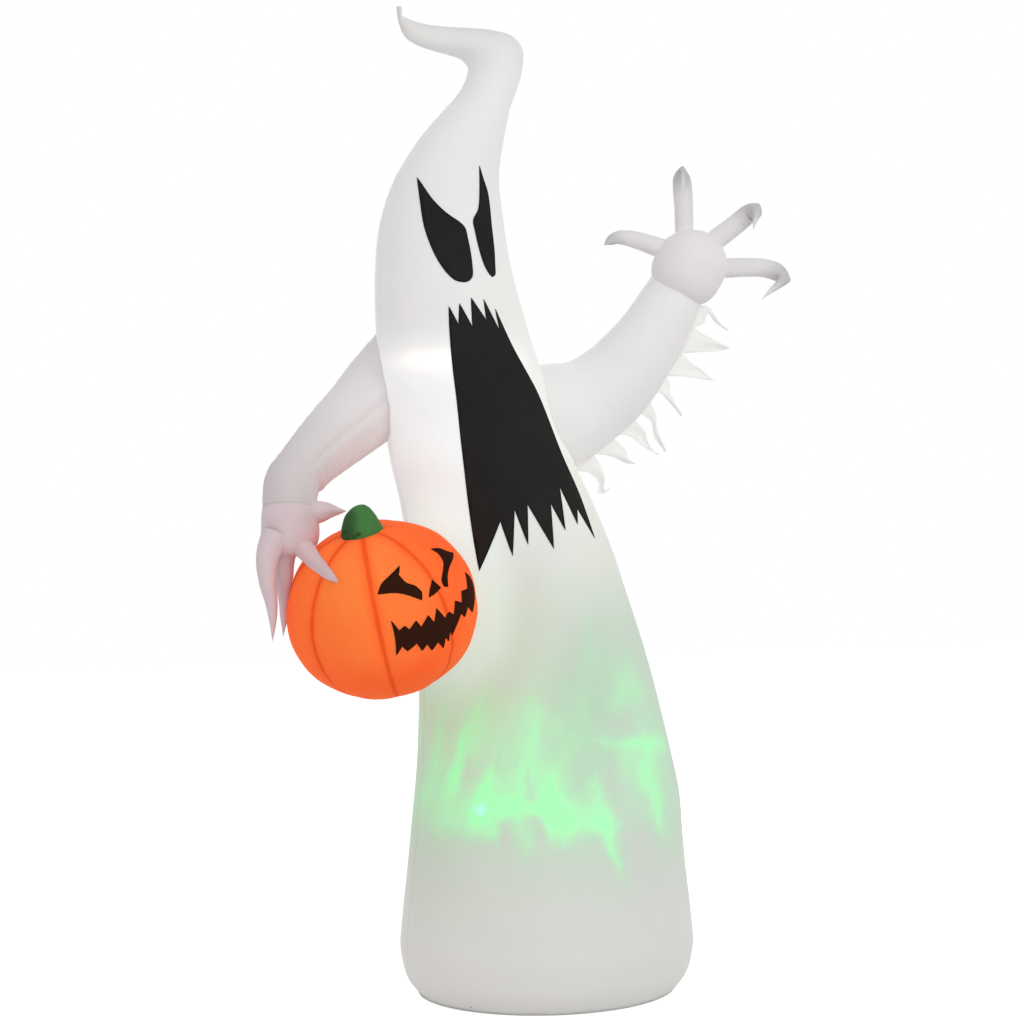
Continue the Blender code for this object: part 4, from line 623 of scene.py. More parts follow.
def moulded(name, shade, roughness=0.45, mottle=0.25):
    """Moulded plastic: a fine cast texture, a little dust and slightly worn shine."""
    material, shader, place = new_finish(name, roughness)[:3]
    dust = place.grain(28.0, 4.0).fade(0.35, 0.8)
    dusty = tuple(value + (0.5 - value) * 0.05 for value in shade)
    darker = shaded(shade, 1 - mottle)
    feed(shader, colour=(dust * 0.6).mix(place.grain(9.0).mix(darker, shade), dusty))
    feed(shader, roughness=place.grain(60.0, 3.0) * 0.25 + (roughness - 0.12))
    feed(shader, normal=bumps(place.grain(900.0, 2.0) * 0.00012, 1.0, 0.7))
    return material


def lamp_plastic():
    material, shader, place = new_finish("lamp_plastic", 0.2)[:3]
    ribs = place.grain(300.0, 1.0).fade(0.3, 0.7)
    feed(shader, colour=ribs.mix((0.80, 0.80, 0.78), (0.90, 0.90, 0.88)))
    feed(shader, glow=place.grain(60.0).mix((0.30, 0.30, 0.28), (0.55, 0.55, 0.52)))
    feed(shader, normal=bumps(ribs * 0.0004, 1.0, 0.6))
    return material


def clear_plastic():
    material, shader, place = new_finish("clear_plastic", 0.08)[:3]
    shader.inputs["Transmission Weight"].default_value = 0.85
    shader.inputs["IOR"].default_value = 1.49
    facet = place.node("ShaderNodeTexVoronoi", {"feature": "F1"}, {"Vector": place, "Scale": 90.0})
    feed(shader, colour=facet.fade(0.0, 0.6).mix((0.74, 0.95, 0.80), (0.86, 0.98, 0.90)))
    feed(shader, normal=bumps(facet * 0.002, 1.0, 0.8))
    return material


def lamp_board():
    material, shader, place = new_finish("lamp_board", 0.4)[:3]
    cell = place.node("ShaderNodeTexVoronoi", {"feature": "F1"}, {"Vector": place, "Scale": 160.0})
    feed(shader, colour=cell.fade(0.25, 0.32).mix((0.78, 0.74, 0.40), (0.035, 0.16, 0.06)))
    feed(shader, glow=cell.fade(0.20, 0.05).mix((0, 0, 0), (0.20, 0.75, 0.30)))
    return material


def metal(name, shade, roughness, stretch=(1, 1, 14)):
    """Bare metal with a drawn grain and a few dull marks."""
    material, shader, place = new_finish(name, roughness, metallic=1.0)[:3]
    drawn = place.node("ShaderNodeMapping", None, {"Vector": place, "Scale": stretch}).grain(160.0, 3.0)
    dull = place.grain(45.0, 4.0).fade(0.45, 0.75)
    feed(shader, colour=dull.mix(shade, shaded(shade, 0.72)))
    feed(shader, roughness=drawn * 0.18 + dull * 0.16 + (roughness - 0.10))
    feed(shader, normal=bumps(drawn * 0.00008, 1.0, 0.6))
    return material


WEBBING = webbing()
BAG_CLOTH = black_cloth("bag_cloth", (0.030, 0.030, 0.032))
BLACK_PLASTIC = moulded("black_plastic", (0.030, 0.030, 0.032))
FAN_PLASTIC = moulded("fan_plastic", (0.60, 0.60, 0.57), 0.4, 0.06)
CRADLE_PLASTIC = moulded("cradle_plastic", (0.62, 0.62, 0.60), 0.4, 0.06)
LAMP_PLASTIC = lamp_plastic()
CLEAR_PLASTIC = clear_plastic()
LAMP_BOARD = lamp_board()
MOTOR_METAL = metal("motor_metal", (0.56, 0.56, 0.55), 0.36)
BARE_METAL = metal("bare_metal", (0.66, 0.66, 0.65), 0.30)
print("webbing, plastics and metals")

# %% Finishes on the CAD's own hard parts
HARD_PARTS = {
    LAMP_PLASTIC: ("waist_lamp", "chest_lamp", "head_lamp", "pumpkin_lamp"),
    BLACK_PLASTIC: ("blower_housing", "intake_grille", "outlet_guard", "cable_gland", "projector_housing"),
    FAN_PLASTIC: ("impeller",),
    CRADLE_PLASTIC: ("projector_cradle",),
    CLEAR_PLASTIC: ("projector_dome",),
    LAMP_BOARD: ("projector_led_board",),
    MOTOR_METAL: ("blower_motor", "projector_motor"),
    BARE_METAL: ("impeller_shaft", "blower_clamp", "grille_screw_1", "grille_screw_2", "grille_screw_3",
                 "grille_screw_4", "projector_spindle", "zip_slider", "zip_pull")}
for material, node_names in HARD_PARTS.items():
    for node_name in node_names:
        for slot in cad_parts[node_name].material_slots:
            slot.material = material
print(sum(map(len, HARD_PARTS.values())), "hard parts finished")

# %% [markdown]
# ## Laying cloth over a line
#
# Almost everything here is a cloth tube that air holds open. So the main tools are a smooth line
# through a few rows of numbers, and a grid of faces of which every point is placed by how far
# across and how far along it lies. A tube is a grid whose two long edges are welded. Its puckers and
# folds are sums of smooth noise and of bells that die away on both sides of a seam.

# %% Smooth line
def bend_between(start, leave, end, arrive, share, gap=1.0):
    """A point on the way from start to end, which leaves and arrives with given slopes."""
    square, cube = share ** 2, share ** 3
    return (start * (2 * cube - 3 * square + 1) + leave * (gap * (cube - 2 * square + share))
            + end * (3 * square - 2 * cube) + arrive * (gap * (cube - square)))


def smooth_line(rows):
    """Read rows of numbers, a place first, as one smooth line by the distance along it."""
    rows = [Vector(row) for row in rows]
    marks = [0.0]
    for before, after in zip(rows, rows[1:]):
        marks.append(marks[-1] + (Vector(after[:3]) - Vector(before[:3])).length)
    last = len(rows) - 1
    steps = [(after - before) / (high - low)
             for before, after, low, high in zip(rows, rows[1:], marks, marks[1:])]
    slopes = [steps[0]]
    for index in range(1, last):
        low = marks[index] - marks[index - 1]
        high = marks[index + 1] - marks[index]
        slopes.append((steps[index - 1] * high + steps[index] * low) / (low + high))
    slopes.append(steps[-1])

    def at(distance):
        distance = min(max(distance, 0.0), marks[-1])
        index = min(bisect_right(marks, distance) - 1, last - 1)
        gap = marks[index + 1] - marks[index]
        share = (distance - marks[index]) / gap
        return bend_between(rows[index], slopes[index], rows[index + 1], slopes[index + 1], share, gap)

    return at, marks[-1]


# %% Waves and bells
def wave_at(*place):
    """Smooth noise from -1 to 1 at three numbers."""
    return noise.noise(Vector(place))


def wave_round(turn, scale, seed):
    """Smooth noise round a tube, which meets itself again after a full turn."""
    return wave_at(math.cos(turn) * scale, math.sin(turn) * scale, seed)


def bell(share):
    """1 at 0, falling off smoothly to both sides."""
    return math.exp(-share ** 2)


def level_way(bearing):
    """The level direction of a bearing."""
    return Vector((math.cos(bearing), math.sin(bearing), 0))


print("a bell falls to", round(bell(1.0), 2), "one reach away from its middle")


# %% Cloth grid
WELD = 1e-6
# The sewing map's distance from a seam, in metres, for cloth that has none near
NO_SEAM = 0.2
CLOTH_THICKNESS = 0.001


def lay(bm, columns, rows, place, sewing=None):
    """Add a grid whose points are placed by their shares across and along, with its sewing map."""
    layer = bm.loops.layers.uv.verify()
    made = bmesh.ops.create_grid(bm, x_segments=columns, y_segments=rows, size=0.5)["verts"]
    shares = {vert: (vert.co.x + 0.5, vert.co.y + 0.5) for vert in made}
    for vert, share in shares.items():
        vert.co = place(*share)
    for face in set(face for vert in made for face in vert.link_faces):
        for loop in face.loops:
            across, along = shares[loop.vert]
            loop[layer].uv = sewing(across, along) if sewing else (NO_SEAM, along)
    return made


def weld(bm, reach=WELD):
    """Close the grid where its edges meet, and drop faces that a pole left without area."""
    bmesh.ops.remove_doubles(bm, verts=bm.verts, dist=reach)
    bmesh.ops.dissolve_degenerate(bm, edges=bm.edges, dist=WELD)


def face_outwards(bm):
    bmesh.ops.recalc_face_normals(bm, faces=bm.faces)


def tree_of(bm):
    """A search tree of a bmesh's faces, with their normals brought up to date first."""
    bm.normal_update()
    return BVHTree.FromBMesh(bm)


def cord_along(bm, points, radius, facing, sides=8):
    """Add a thin closed cord along points, such as the thread over a join."""
    count = len(points)
    facing = Vector(facing)

    def place(across, along):
        index = round(along * count)
        here = points[index % count]
        ahead = (points[(index + 1) % count] - points[(index - 1) % count]).normalized()
        side = ahead.cross(facing).normalized()
        turn = across * 2 * math.pi
        return here + (side * math.cos(turn) + side.cross(ahead) * -math.sin(turn)) * radius

    made = lay(bm, sides, count, place)
    bmesh.ops.remove_doubles(bm, verts=made, dist=WELD)


def loop_facing(points):
    """The direction that a loop of points faces."""
    middle = sum(points, Vector()) / len(points)
    total = Vector()
    for before, after in zip(points, points[1:] + points[:1]):
        total += (before - middle).cross(after - middle)
    return total.normalized()


# %% Finished piece
def finished(name, bm, material, nodes, thickness=0.0):
    """Make a piece of a bmesh, ride it on the ghost and hide the CAD nodes that it stands for."""
    mesh = bpy.data.meshes.new(name)
    bm.to_mesh(mesh)
    bm.free()
    for polygon in mesh.polygons:
        polygon.use_smooth = True
    mesh.materials.append(material)
    piece = bpy.data.objects.new(name, mesh)
    scene.collection.objects.link(piece)
    if thickness:
        wall = piece.modifiers.new("cloth", "SOLIDIFY")
        wall.thickness = thickness
        wall.offset = -1
        wall.use_even_offset = False
    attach(piece, "ghost")
    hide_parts(*nodes)
    print(name, len(mesh.polygons), "faces")
    return piece


# %% [markdown]
# ## Body
#
# The body is two panels, front and back, sewn up both sides. Its rings are the CAD's: height, bend
# and half sizes, with a tilt where the tail curls over. Here the panels also bulge a little between
# small puckers along the side seams, which is how a blown-up cloth shape shows its sewing.

# %% Body rings
FLOOR_LIFT = 0.0033
BODY_HEIGHT = 2.70
BODY_WIDTH = 0.84
BODY_DEPTH = 0.71
# Height, bend, half width and half depth as shares of the sizes above, and tilt in degrees
BODY_SHARES = (
    (0.000, 0.000, 0.865, 0.885, 0), (0.012, 0.000, 0.932, 0.948, 0), (0.038, 0.000, 0.988, 0.996, 0),
    (0.079, 0.000, 0.978, 0.985, 0), (0.121, 0.000, 0.948, 0.952, 0), (0.162, 0.000, 0.922, 0.925, 0),
    (0.204, 0.000, 0.898, 0.900, 0), (0.246, -0.003, 0.860, 0.860, 0), (0.300, -0.009, 0.808, 0.808, 0),
    (0.350, -0.017, 0.768, 0.768, 0), (0.402, -0.028, 0.726, 0.726, 0), (0.453, -0.040, 0.690, 0.690, 0),
    (0.494, -0.053, 0.654, 0.654, 0), (0.556, -0.076, 0.603, 0.605, 1), (0.607, -0.089, 0.564, 0.575, 1),
    (0.677, -0.105, 0.501, 0.540, 2), (0.736, -0.114, 0.450, 0.500, 3), (0.785, -0.116, 0.409, 0.460, 3),
    (0.834, -0.110, 0.344, 0.390, 3), (0.859, -0.101, 0.312, 0.355, 4), (0.882, -0.091, 0.281, 0.325, 7),
    (0.903, -0.079, 0.235, 0.275, 7), (0.924, -0.0655, 0.196, 0.232, 5), (0.943, -0.0585, 0.186, 0.220, 7),
    (0.958, -0.058, 0.194, 0.222, 20), (0.967, -0.066, 0.186, 0.212, 28),
    (0.971, -0.0805, 0.160, 0.185, 35), (0.972, -0.098, 0.119, 0.145, 49),
    (0.973, -0.123, 0.085, 0.100, 67), (0.976, -0.142, 0.070, 0.080, 76),
    (0.981, -0.154, 0.056, 0.062, 80), (0.988, -0.160, 0.029, 0.033, 76), (1.000, -0.163, 0.012, 0.014, 60))


def height_of(share):
    return FLOOR_LIFT + share * (BODY_HEIGHT - FLOOR_LIFT)


rows = [(bend * BODY_HEIGHT, 0, height_of(height), width * BODY_WIDTH / 2, depth * BODY_DEPTH / 2, tilt)
        for height, bend, width, depth, tilt in BODY_SHARES]
tip = rows[-1]
rows.append((tip[0] - 0.003, 0, tip[2] + 0.002, 0, 0, tip[5]))
body_line, BODY_LENGTH = smooth_line(rows)
print("the body's middle line is", round(BODY_LENGTH, 3), "m long")


def body_at(height):
    """The body's centre, half width and half depth at a height, straight between its rings."""
    share = (height - FLOOR_LIFT) / (BODY_HEIGHT - FLOOR_LIFT)
    for low, high in zip(BODY_SHARES, BODY_SHARES[1:]):
        if share <= high[0]:
            break
    mix = (share - low[0]) / (high[0] - low[0])
    bend, width, depth = [low[column] + (high[column] - low[column]) * mix for column in (1, 2, 3)]
    return bend * BODY_HEIGHT, width * BODY_WIDTH / 2, depth * BODY_DEPTH / 2


def skin_point(height, bearing):
    """The point of the skin at a height and bearing, and its level outward direction."""
    centre, half_width, half_depth = body_at(height)
    reach = 1 / math.hypot(math.cos(bearing) / half_width, math.sin(bearing) / half_depth)
    out = level_way(bearing) * reach
    normal = Vector((out.x / half_width ** 2, out.y / half_depth ** 2, 0)).normalized()
    return Vector((centre, 0, height)) + out, normal


# %% Body panels
BODY_COLUMNS = 76
BODY_ROWS = 330
SEAM_CROWDING = 0.80
SEAM_GAP = 0.00015
GROOVE_DEPTH = 0.0007
GROOVE_WIDTH = 0.006
PUCKER_DEPTH = 0.0024
PUCKER_REACH = 0.030
PUCKER_LENGTH = 0.034
BILLOW = 0.0035
FOLD_DEPTH = 0.0022
FOLD_HEIGHT = 0.10
# Rings thinner than the first size are plain, and from the second on they have their full folds
PLAIN_SIZE = 0.004
FULL_SIZE = 0.12
body_rings = {}


def ring_at(along):
    """One row of the body: its middle, half sizes and tilt, kept for the points that share it."""
    if along not in body_rings:
        row = body_line(along * BODY_LENGTH)
        turn = Matrix.Rotation(-math.radians(row[5]), 3, "Y")
        wave = wave_at(along * BODY_LENGTH / PUCKER_LENGTH, 3.1, 0)
        body_rings[along] = (Vector(row[:3]), max(row[3], 0.0), max(row[4], 0.0), turn, wave)
    return body_rings[along]


def body_point(along, bearing):
    """A point of the inflated body, with its seam groove, puckers and soft billows."""
    middle, half_width, half_depth, turn, wave = ring_at(along)
    across, deep = math.cos(bearing), math.sin(bearing)
    point = Vector((half_width * across, half_depth * deep, 0))
    size = (half_width + half_depth) / 2
    if size > PLAIN_SIZE:
        from_seam = abs(deep) * size
        small = min(1.0, size / FULL_SIZE)
        sink = GROOVE_DEPTH * bell(from_seam / GROOVE_WIDTH) * small
        sink += PUCKER_DEPTH * (0.5 + wave) * math.exp(-from_seam / PUCKER_REACH) * small
        rough = middle + point
        sink += BILLOW * small * noise.noise(rough * 4.0)
        fold = wave_at(bearing * 7.0, 0.7, middle.z * 3.0)
        sink += FOLD_DEPTH * fold * math.exp(-middle.z / FOLD_HEIGHT)
        out = Vector((across / half_width, deep / half_depth, 0)).normalized()
        point -= out * sink
    return middle + turn @ point


def panel_bearing(across, start):
    """Columns crowd towards both seams, where the detail is."""
    return start + math.pi * (across - SEAM_CROWDING * math.sin(2 * math.pi * across) / (2 * math.pi))


def body_panel(bm, start):
    """Add one half of the body, from seam to seam."""

    def place(across, along):
        point = body_point(along, panel_bearing(across, start))
        if across in (0.0, 1.0):
            point.y += SEAM_GAP if start == 0 else -SEAM_GAP
        return point

    def sewing(across, along):
        half_width, half_depth = ring_at(along)[1:3]
        bearing = panel_bearing(across, start) - start
        return min(bearing, math.pi - bearing) * (half_width + half_depth) / 2, along * BODY_LENGTH

    lay(bm, BODY_COLUMNS, BODY_ROWS, place, sewing)


skin = bmesh.new()
body_panel(skin, 0.0)
body_panel(skin, math.pi)
SKIN_TREE = tree_of(skin)
skin.free()


def in_body(point, margin=0.0):
    """Whether a point lies inside the body's skin."""
    nearest, normal = SKIN_TREE.find_nearest(point)[:2]
    return (point - nearest).dot(normal) < margin


for name, start, material in (
        ("body_front_panel", math.pi, FRONT_CLOTH), ("body_back_panel", 0.0, BACK_CLOTH)):
    bm = bmesh.new()
    body_panel(bm, start)
    weld(bm)
    finished("sewn_" + name, bm, material, [name], CLOTH_THICKNESS)

# %% [markdown]
# ## Base cloth
#
# The bottom is a flat oval of the same cloth. The panels are sewn to it, and the seam allowance
# shows as a small rolled edge.

# %% Base panel
BASE_COLUMNS = 96
# From the middle of the top out to the rolled edge and back under: share of the radius, height
BASE_PROFILE = (
    (0.0, 0.0030), (0.35, 0.0030), (0.80, 0.0030), (0.96, 0.0030), (0.985, 0.0034), (0.997, 0.0032),
    (1.003, 0.0016), (0.994, 0.0002), (0.97, 0.0), (0.60, 0.0), (0.0, 0.0))
RIPPLES = 43
RIPPLE_SHARE = 0.0015


def base_row(along):
    return BASE_PROFILE[round(along * (len(BASE_PROFILE) - 1))]


def base_point(across, along):
    share, height = base_row(along)
    bearing = -2 * math.pi * across
    half_width = BODY_SHARES[0][2] * BODY_WIDTH / 2
    half_depth = BODY_SHARES[0][3] * BODY_DEPTH / 2
    ripple = 1 + RIPPLE_SHARE * math.sin(bearing * RIPPLES) * share ** 8
    out = Vector((half_width * math.cos(bearing), half_depth * math.sin(bearing), 0))
    return out * share * ripple + Vector((0, 0, height))


bm = bmesh.new()
lay(bm, BASE_COLUMNS, len(BASE_PROFILE) - 1, base_point,
    lambda across, along: (abs(1 - base_row(along)[0]) * 0.35, across * 2.3))
weld(bm)
face_outwards(bm)
finished("base_cloth", bm, BASE_CLOTH, ["base_panel"])

# %% [markdown]
# ## Black face patches
#
# Each patch is cut from black cloth along a drawn outline and sewn on with a close, raised stitch.
# Its outline is filled flat, cut into small squares so that it can bend, and every point is then
# thrown onto the skin. A Boolean on the skin would give the same edge, only slower and less evenly.

# %% Patch tools
PATCH_CELL = 0.016
PATCH_LIFT = 0.0006
PATCH_THICKNESS = 0.0007
BEAD_RADIUS = 0.0011
OUTLINE_STEPS = 6
SHARP_TURN = math.radians(52)


def drawn_outline(points):
    """Round an outline off between its points, and keep its sharp corners."""
    points = [Vector(point) for point in points]
    count = len(points)
    drawn = []
    for index in range(count):
        before, start, end, after = [points[(index + shift) % count] for shift in (-1, 0, 1, 2)]
        chord = end - start
        leave, arrive = chord, chord
        if (start - before).angle(chord) < SHARP_TURN:
            leave = (end - before) * chord.length / ((start - before).length + chord.length)
        if chord.angle(after - end) < SHARP_TURN:
            arrive = (after - start) * chord.length / ((after - end).length + chord.length)
        for step in range(OUTLINE_STEPS):
            drawn.append(bend_between(start, leave, end, arrive, step / OUTLINE_STEPS))
    return drawn


def sewn_patch(name, outline, cast, facing, cell, material, nodes):
    """Fill an outline, cut it into cells, throw it on a skin and sew a bead round it."""
    outline = drawn_outline(outline)
    bm = bmesh.new()
    layer = bm.loops.layers.uv.verify()
    corners = [bm.verts.new((point.x, point.y, 0)) for point in outline]
    edges = [bm.edges.new(pair) for pair in zip(corners, corners[1:] + corners[:1])]
    bmesh.ops.triangle_fill(bm, use_beauty=True, use_dissolve=False, edges=edges)
    for axis in (0, 1):
        low = min(point[axis] for point in outline)
        high = max(point[axis] for point in outline)
        for index in range(1, int((high - low) / cell) + 1):
            place = Vector((0, 0, 0))
            place[axis] = low + index * cell
            way = Vector((0, 0, 0))
            way[axis] = 1
            bmesh.ops.bisect_plane(bm, geom=bm.verts[:] + bm.edges[:] + bm.faces[:], dist=WELD,
                                   plane_co=place, plane_no=way)
    for face in bm.faces:
        for loop in face.loops:
            loop[layer].uv = (NO_SEAM, 0)
    for vert in bm.verts:
        place, normal = cast(vert.co.x, vert.co.y)
        vert.co = place + normal * (PATCH_LIFT + PATCH_THICKNESS)
    face_outwards(bm)
    total = sum((face.normal * face.calc_area() for face in bm.faces), Vector())
    if total.dot(facing) < 0:
        bmesh.ops.reverse_faces(bm, faces=bm.faces)
    finished(name, bm, material, nodes, PATCH_THICKNESS)
    bead = bmesh.new()
    thread = []
    for point in outline:
        place, normal = cast(point.x, point.y)
        thread.append(place + normal * (PATCH_LIFT + PATCH_THICKNESS))
    cord_along(bead, thread, BEAD_RADIUS, facing, sides=6)
    face_outwards(bead)
    finished(name + "_thread", bead, material, [])


# %% Mouth and eyes
# Outlines: across as a share of the body's half width there, up as a share of its height
MOUTH_SHARES = (
    (-0.33, 0.694), (-0.24, 0.676), (-0.19, 0.697), (-0.07, 0.674), (-0.02, 0.703), (0.14, 0.681),
    (0.16, 0.702), (0.30, 0.671), (0.31, 0.693), (0.43, 0.657), (0.53, 0.634), (0.62, 0.613),
    (0.67, 0.586), (0.69, 0.548), (0.68, 0.510), (0.63, 0.466), (0.55, 0.496), (0.47, 0.480),
    (0.44, 0.518), (0.29, 0.474), (0.24, 0.501), (0.09, 0.456), (-0.02, 0.500), (-0.15, 0.460),
    (-0.17, 0.495), (-0.32, 0.449), (-0.34, 0.483), (-0.62, 0.434), (-0.60, 0.477), (-0.48, 0.555),
    (-0.43, 0.599), (-0.40, 0.639), (-0.36, 0.671))
RIGHT_EYE_SHARES = (
    (-0.78, 0.824), (-0.52, 0.802), (-0.27, 0.787), (0.00, 0.774), (0.045, 0.762), (0.073, 0.747),
    (0.078, 0.734), (0.055, 0.725), (-0.01, 0.720), (-0.10, 0.7185), (-0.22, 0.721), (-0.35, 0.733),
    (-0.48, 0.752), (-0.58, 0.775), (-0.68, 0.802))
LEFT_EYE_SHARES = (
    (0.28, 0.837), (0.37, 0.826), (0.48, 0.809), (0.51, 0.779), (0.50, 0.755), (0.475, 0.739),
    (0.44, 0.7285), (0.38, 0.7255), (0.33, 0.729), (0.28, 0.737), (0.22, 0.753), (0.18, 0.771),
    (0.17, 0.781), (0.27, 0.793), (0.30, 0.816))


def on_face(across, height):
    """The place on the front skin at a place across and a height, and the way out of it."""
    return SKIN_TREE.ray_cast(Vector((across, -1, height)), Vector((0, 1, 0)))[:2]


def face_outline(shares):
    outline = []
    for across, up in shares:
        centre, half_width = body_at(height_of(up))[:2]
        outline.append((centre + across * half_width, height_of(up)))
    return outline


for name, shares in (
        ("mouth", MOUTH_SHARES), ("right_eye", RIGHT_EYE_SHARES), ("left_eye", LEFT_EYE_SHARES)):
    sewn_patch(name + "_cloth", face_outline(shares), on_face, Vector((0, -1, 0)), PATCH_CELL,
               BLACK_CLOTH, [name + "_patch"])

# %% [markdown]
# ## Sleeves
#
# A sleeve is a tube round a bent line. Each of its lengthwise threads starts where it comes out of
# the body's skin and ends where it meets the palm, so the joins fit without cutting. Cloth sewn to
# a rounder opening gathers there, and a thin cord covers the join.

# %% Tube tools
LINE_STEP = 0.002
WALK_STEPS = 30
HALVINGS = 18
CORD_RADIUS = 0.0016
# A palm's skin is taken a little further in, so that what is sewn to it has no gap
PALM_MARGIN = 0.001


def tube_on(line, length, facing, flatness=1.0):
    """A function that gives a point of a tube, with its side at turn 0 towards a direction.

    The section is flattened in that direction at the tube's start, and round from its middle on.
    """
    kept = {}

    def place(distance, turn, swell=0.0):
        if distance not in kept:
            row = line(distance)
            ahead = Vector(line(distance + LINE_STEP)[:3]) - Vector(line(distance - LINE_STEP)[:3])
            ahead.normalize()
            side = (facing - ahead * facing.dot(ahead)).normalized()
            flat = flatness + (1 - flatness) * min(1.0, distance / (length * 0.6))
            kept[distance] = (Vector(row[:3]), side, ahead.cross(side), row[3], flat)
        middle, side, up, radius, flat = kept[distance]
        return middle + (side * math.cos(turn) * flat + up * math.sin(turn)) * (radius + swell)

    return place


def turns_round(count, first):
    """Evenly spaced turns for a tube's lengthwise threads."""
    return [first + 2 * math.pi * index / count for index in range(count)]


def edge_of(place, turn, seen, hidden, hides):
    """Walk along one thread of a tube from a seen place to where something hides it."""
    step = (hidden - seen) / WALK_STEPS
    reach = seen
    for count in range(WALK_STEPS - 1):
        if hides(place(reach + step, turn)):
            break
        reach += step
    near, far = reach, reach + step
    for count in range(HALVINGS):
        middle = (near + far) / 2
        if hides(place(middle, turn)):
            far = middle
        else:
            near = middle
    return near


def edges_of(place, columns, first_turn, seen, hidden, hides):
    """Where each of a tube's threads meets what hides it."""
    return [edge_of(place, turn, seen, hidden, hides) for turn in turns_round(columns, first_turn)]


def in_palm(centre, radius, pole, squareness):
    """Whether a point is in a palm: a ball that a higher power makes squarer, at its wrist and beyond."""
    pole = pole.normalized()

    def inside(point):
        away = (point - centre) / radius
        rise = away.dot(pole)
        level = (away - pole * rise).length
        power = squareness[rise > 0]
        return abs(rise) ** power + level ** power < 1
    return inside


def turn_from_seam(turn, first_turn):
    """The turn from a place on a tube to the nearer of its two seams."""
    return abs((turn - first_turn + math.pi / 2) % math.pi - math.pi / 2)


def cloth_tube(bm, columns, rows, place, line, starts, ends, first_turn, swell):
    """Add a tube between its own starts and ends, and return its two edges."""
    turns = turns_round(columns, first_turn)

    def where(across, along):
        index = round(across * columns) % columns
        return starts[index] + (ends[index] - starts[index]) * along, turns[index], index

    def put(across, along):
        distance, turn, index = where(across, along)
        stand = swell(distance, turn, distance - starts[index], ends[index] - distance)
        return place(distance, turn, stand)

    def sewing(across, along):
        distance, turn = where(across, along)[:2]
        return turn_from_seam(turn, first_turn) * line(distance)[3], distance

    lay(bm, columns, rows, put, sewing)
    weld(bm)
    return [[put(index / columns, along) for index in range(columns)] for along in (0.0, 1.0)]


TUBE_GROOVE_WIDTH = 0.007
TUBE_PUCKER_LENGTH = 0.030
TUBE_PUCKER_REACH = 0.028
START_GATHER_REACH = 0.035
END_GATHER_REACH = 0.030
TUBE_BILLOW = 0.0025


def sewn_swell(line, first_turn, gather_start, gather_end, seed, groove=0.0018, pucker=0.0020):
    """How far a tube's cloth stands out: gathers at its ends, a groove and puckers at its seams."""

    def swell(distance, turn, from_start, from_end):
        from_seam = turn_from_seam(turn, first_turn) * line(distance)[3]
        out = -groove * bell(from_seam / TUBE_GROOVE_WIDTH)
        wave = wave_at(distance / TUBE_PUCKER_LENGTH, seed, 0)
        out -= pucker * (0.4 + wave) * math.exp(-from_seam / TUBE_PUCKER_REACH)
        ring = wave_round(turn, 3.2, seed + distance * 2.0)
        out += gather_start * ring * math.exp(-from_start / START_GATHER_REACH)
        out += gather_end * ring * math.exp(-from_end / END_GATHER_REACH)
        out += TUBE_BILLOW * wave_at(distance * 7.0, turn * 1.2, seed)
        return out

    return swell


# %% Left arm and palm
LEFT_SHOULDER_HEIGHT = 1.603
LEFT_ARM_REACH = 0.371
LEFT_ARM_RISE = 0.351
LEFT_ARM_FORWARD = 0.044
LEFT_ARM_HALF = 0.149
LEFT_PALM_RADIUS = 0.103
# Out, forward and up from the body's side, and girth, as shares of the sizes above
LEFT_ARM_SHARES = (
    (-0.27, -0.40, -0.06, 1.00), (0.09, -0.34, 0.00, 1.00), (0.31, -0.36, 0.10, 0.88),
    (0.52, -0.14, 0.26, 0.80), (0.71, 0.30, 0.50, 0.705), (0.86, 0.57, 0.74, 0.63),
    (0.945, 0.86, 0.915, 0.58), (0.98, 1.00, 1.00, 0.545), (1.03, 1.15, 1.10, 0.52))
LEFT_PALM_SHARES = (1.085, 1.66, 1.22)
SLEEVE_COLUMNS = 96
SLEEVE_ROWS = 90
PALM_COLUMNS = 96
PALM_ROWS = 56
# Turns round a tube at which a seam can lie
DOWN = -math.pi / 2
UP = math.pi / 2


def left_arm_place(reach, forward, rise):
    centre, half_width = body_at(LEFT_SHOULDER_HEIGHT)[:2]
    return Vector((centre + half_width + reach * LEFT_ARM_REACH, -forward * LEFT_ARM_FORWARD,
                   LEFT_SHOULDER_HEIGHT + rise * LEFT_ARM_RISE))


LEFT_PALM_CENTRE = left_arm_place(*LEFT_PALM_SHARES)
left_line, left_length = smooth_line([
    (*left_arm_place(reach, forward, rise), girth * LEFT_ARM_HALF)
    for reach, forward, rise, girth in LEFT_ARM_SHARES])
ARM_PLANE_WAY = left_arm_place(*LEFT_ARM_SHARES[-2][:3]) - left_arm_place(*LEFT_ARM_SHARES[1][:3])
ARM_PLANE_WAY.z = 0
ARM_PLANE_WAY.normalize()
ARM_PLANE_BACK = Vector((0, 0, 1)).cross(ARM_PLANE_WAY)
left_tube = tube_on(left_line, left_length, ARM_PLANE_BACK)


def sleeve(name, line, length, place, in_hand, first_turn, swell, material, node):
    """A sleeve from the body's skin to the palm, with a cord over each join."""
    middle = length * 0.55
    starts = edges_of(place, SLEEVE_COLUMNS, first_turn, middle, 0.0, in_body)
    ends = edges_of(place, SLEEVE_COLUMNS, first_turn, middle, length, in_hand)
    bm = bmesh.new()
    joins = cloth_tube(bm, SLEEVE_COLUMNS, SLEEVE_ROWS, place, line, starts, ends, first_turn, swell)
    finished(name, bm, material, [node], CLOTH_THICKNESS)
    cords = bmesh.new()
    for loop in joins:
        cord_along(cords, loop, CORD_RADIUS, loop_facing(loop))
    face_outwards(cords)
    finished(name + "_join_thread", cords, material, [])


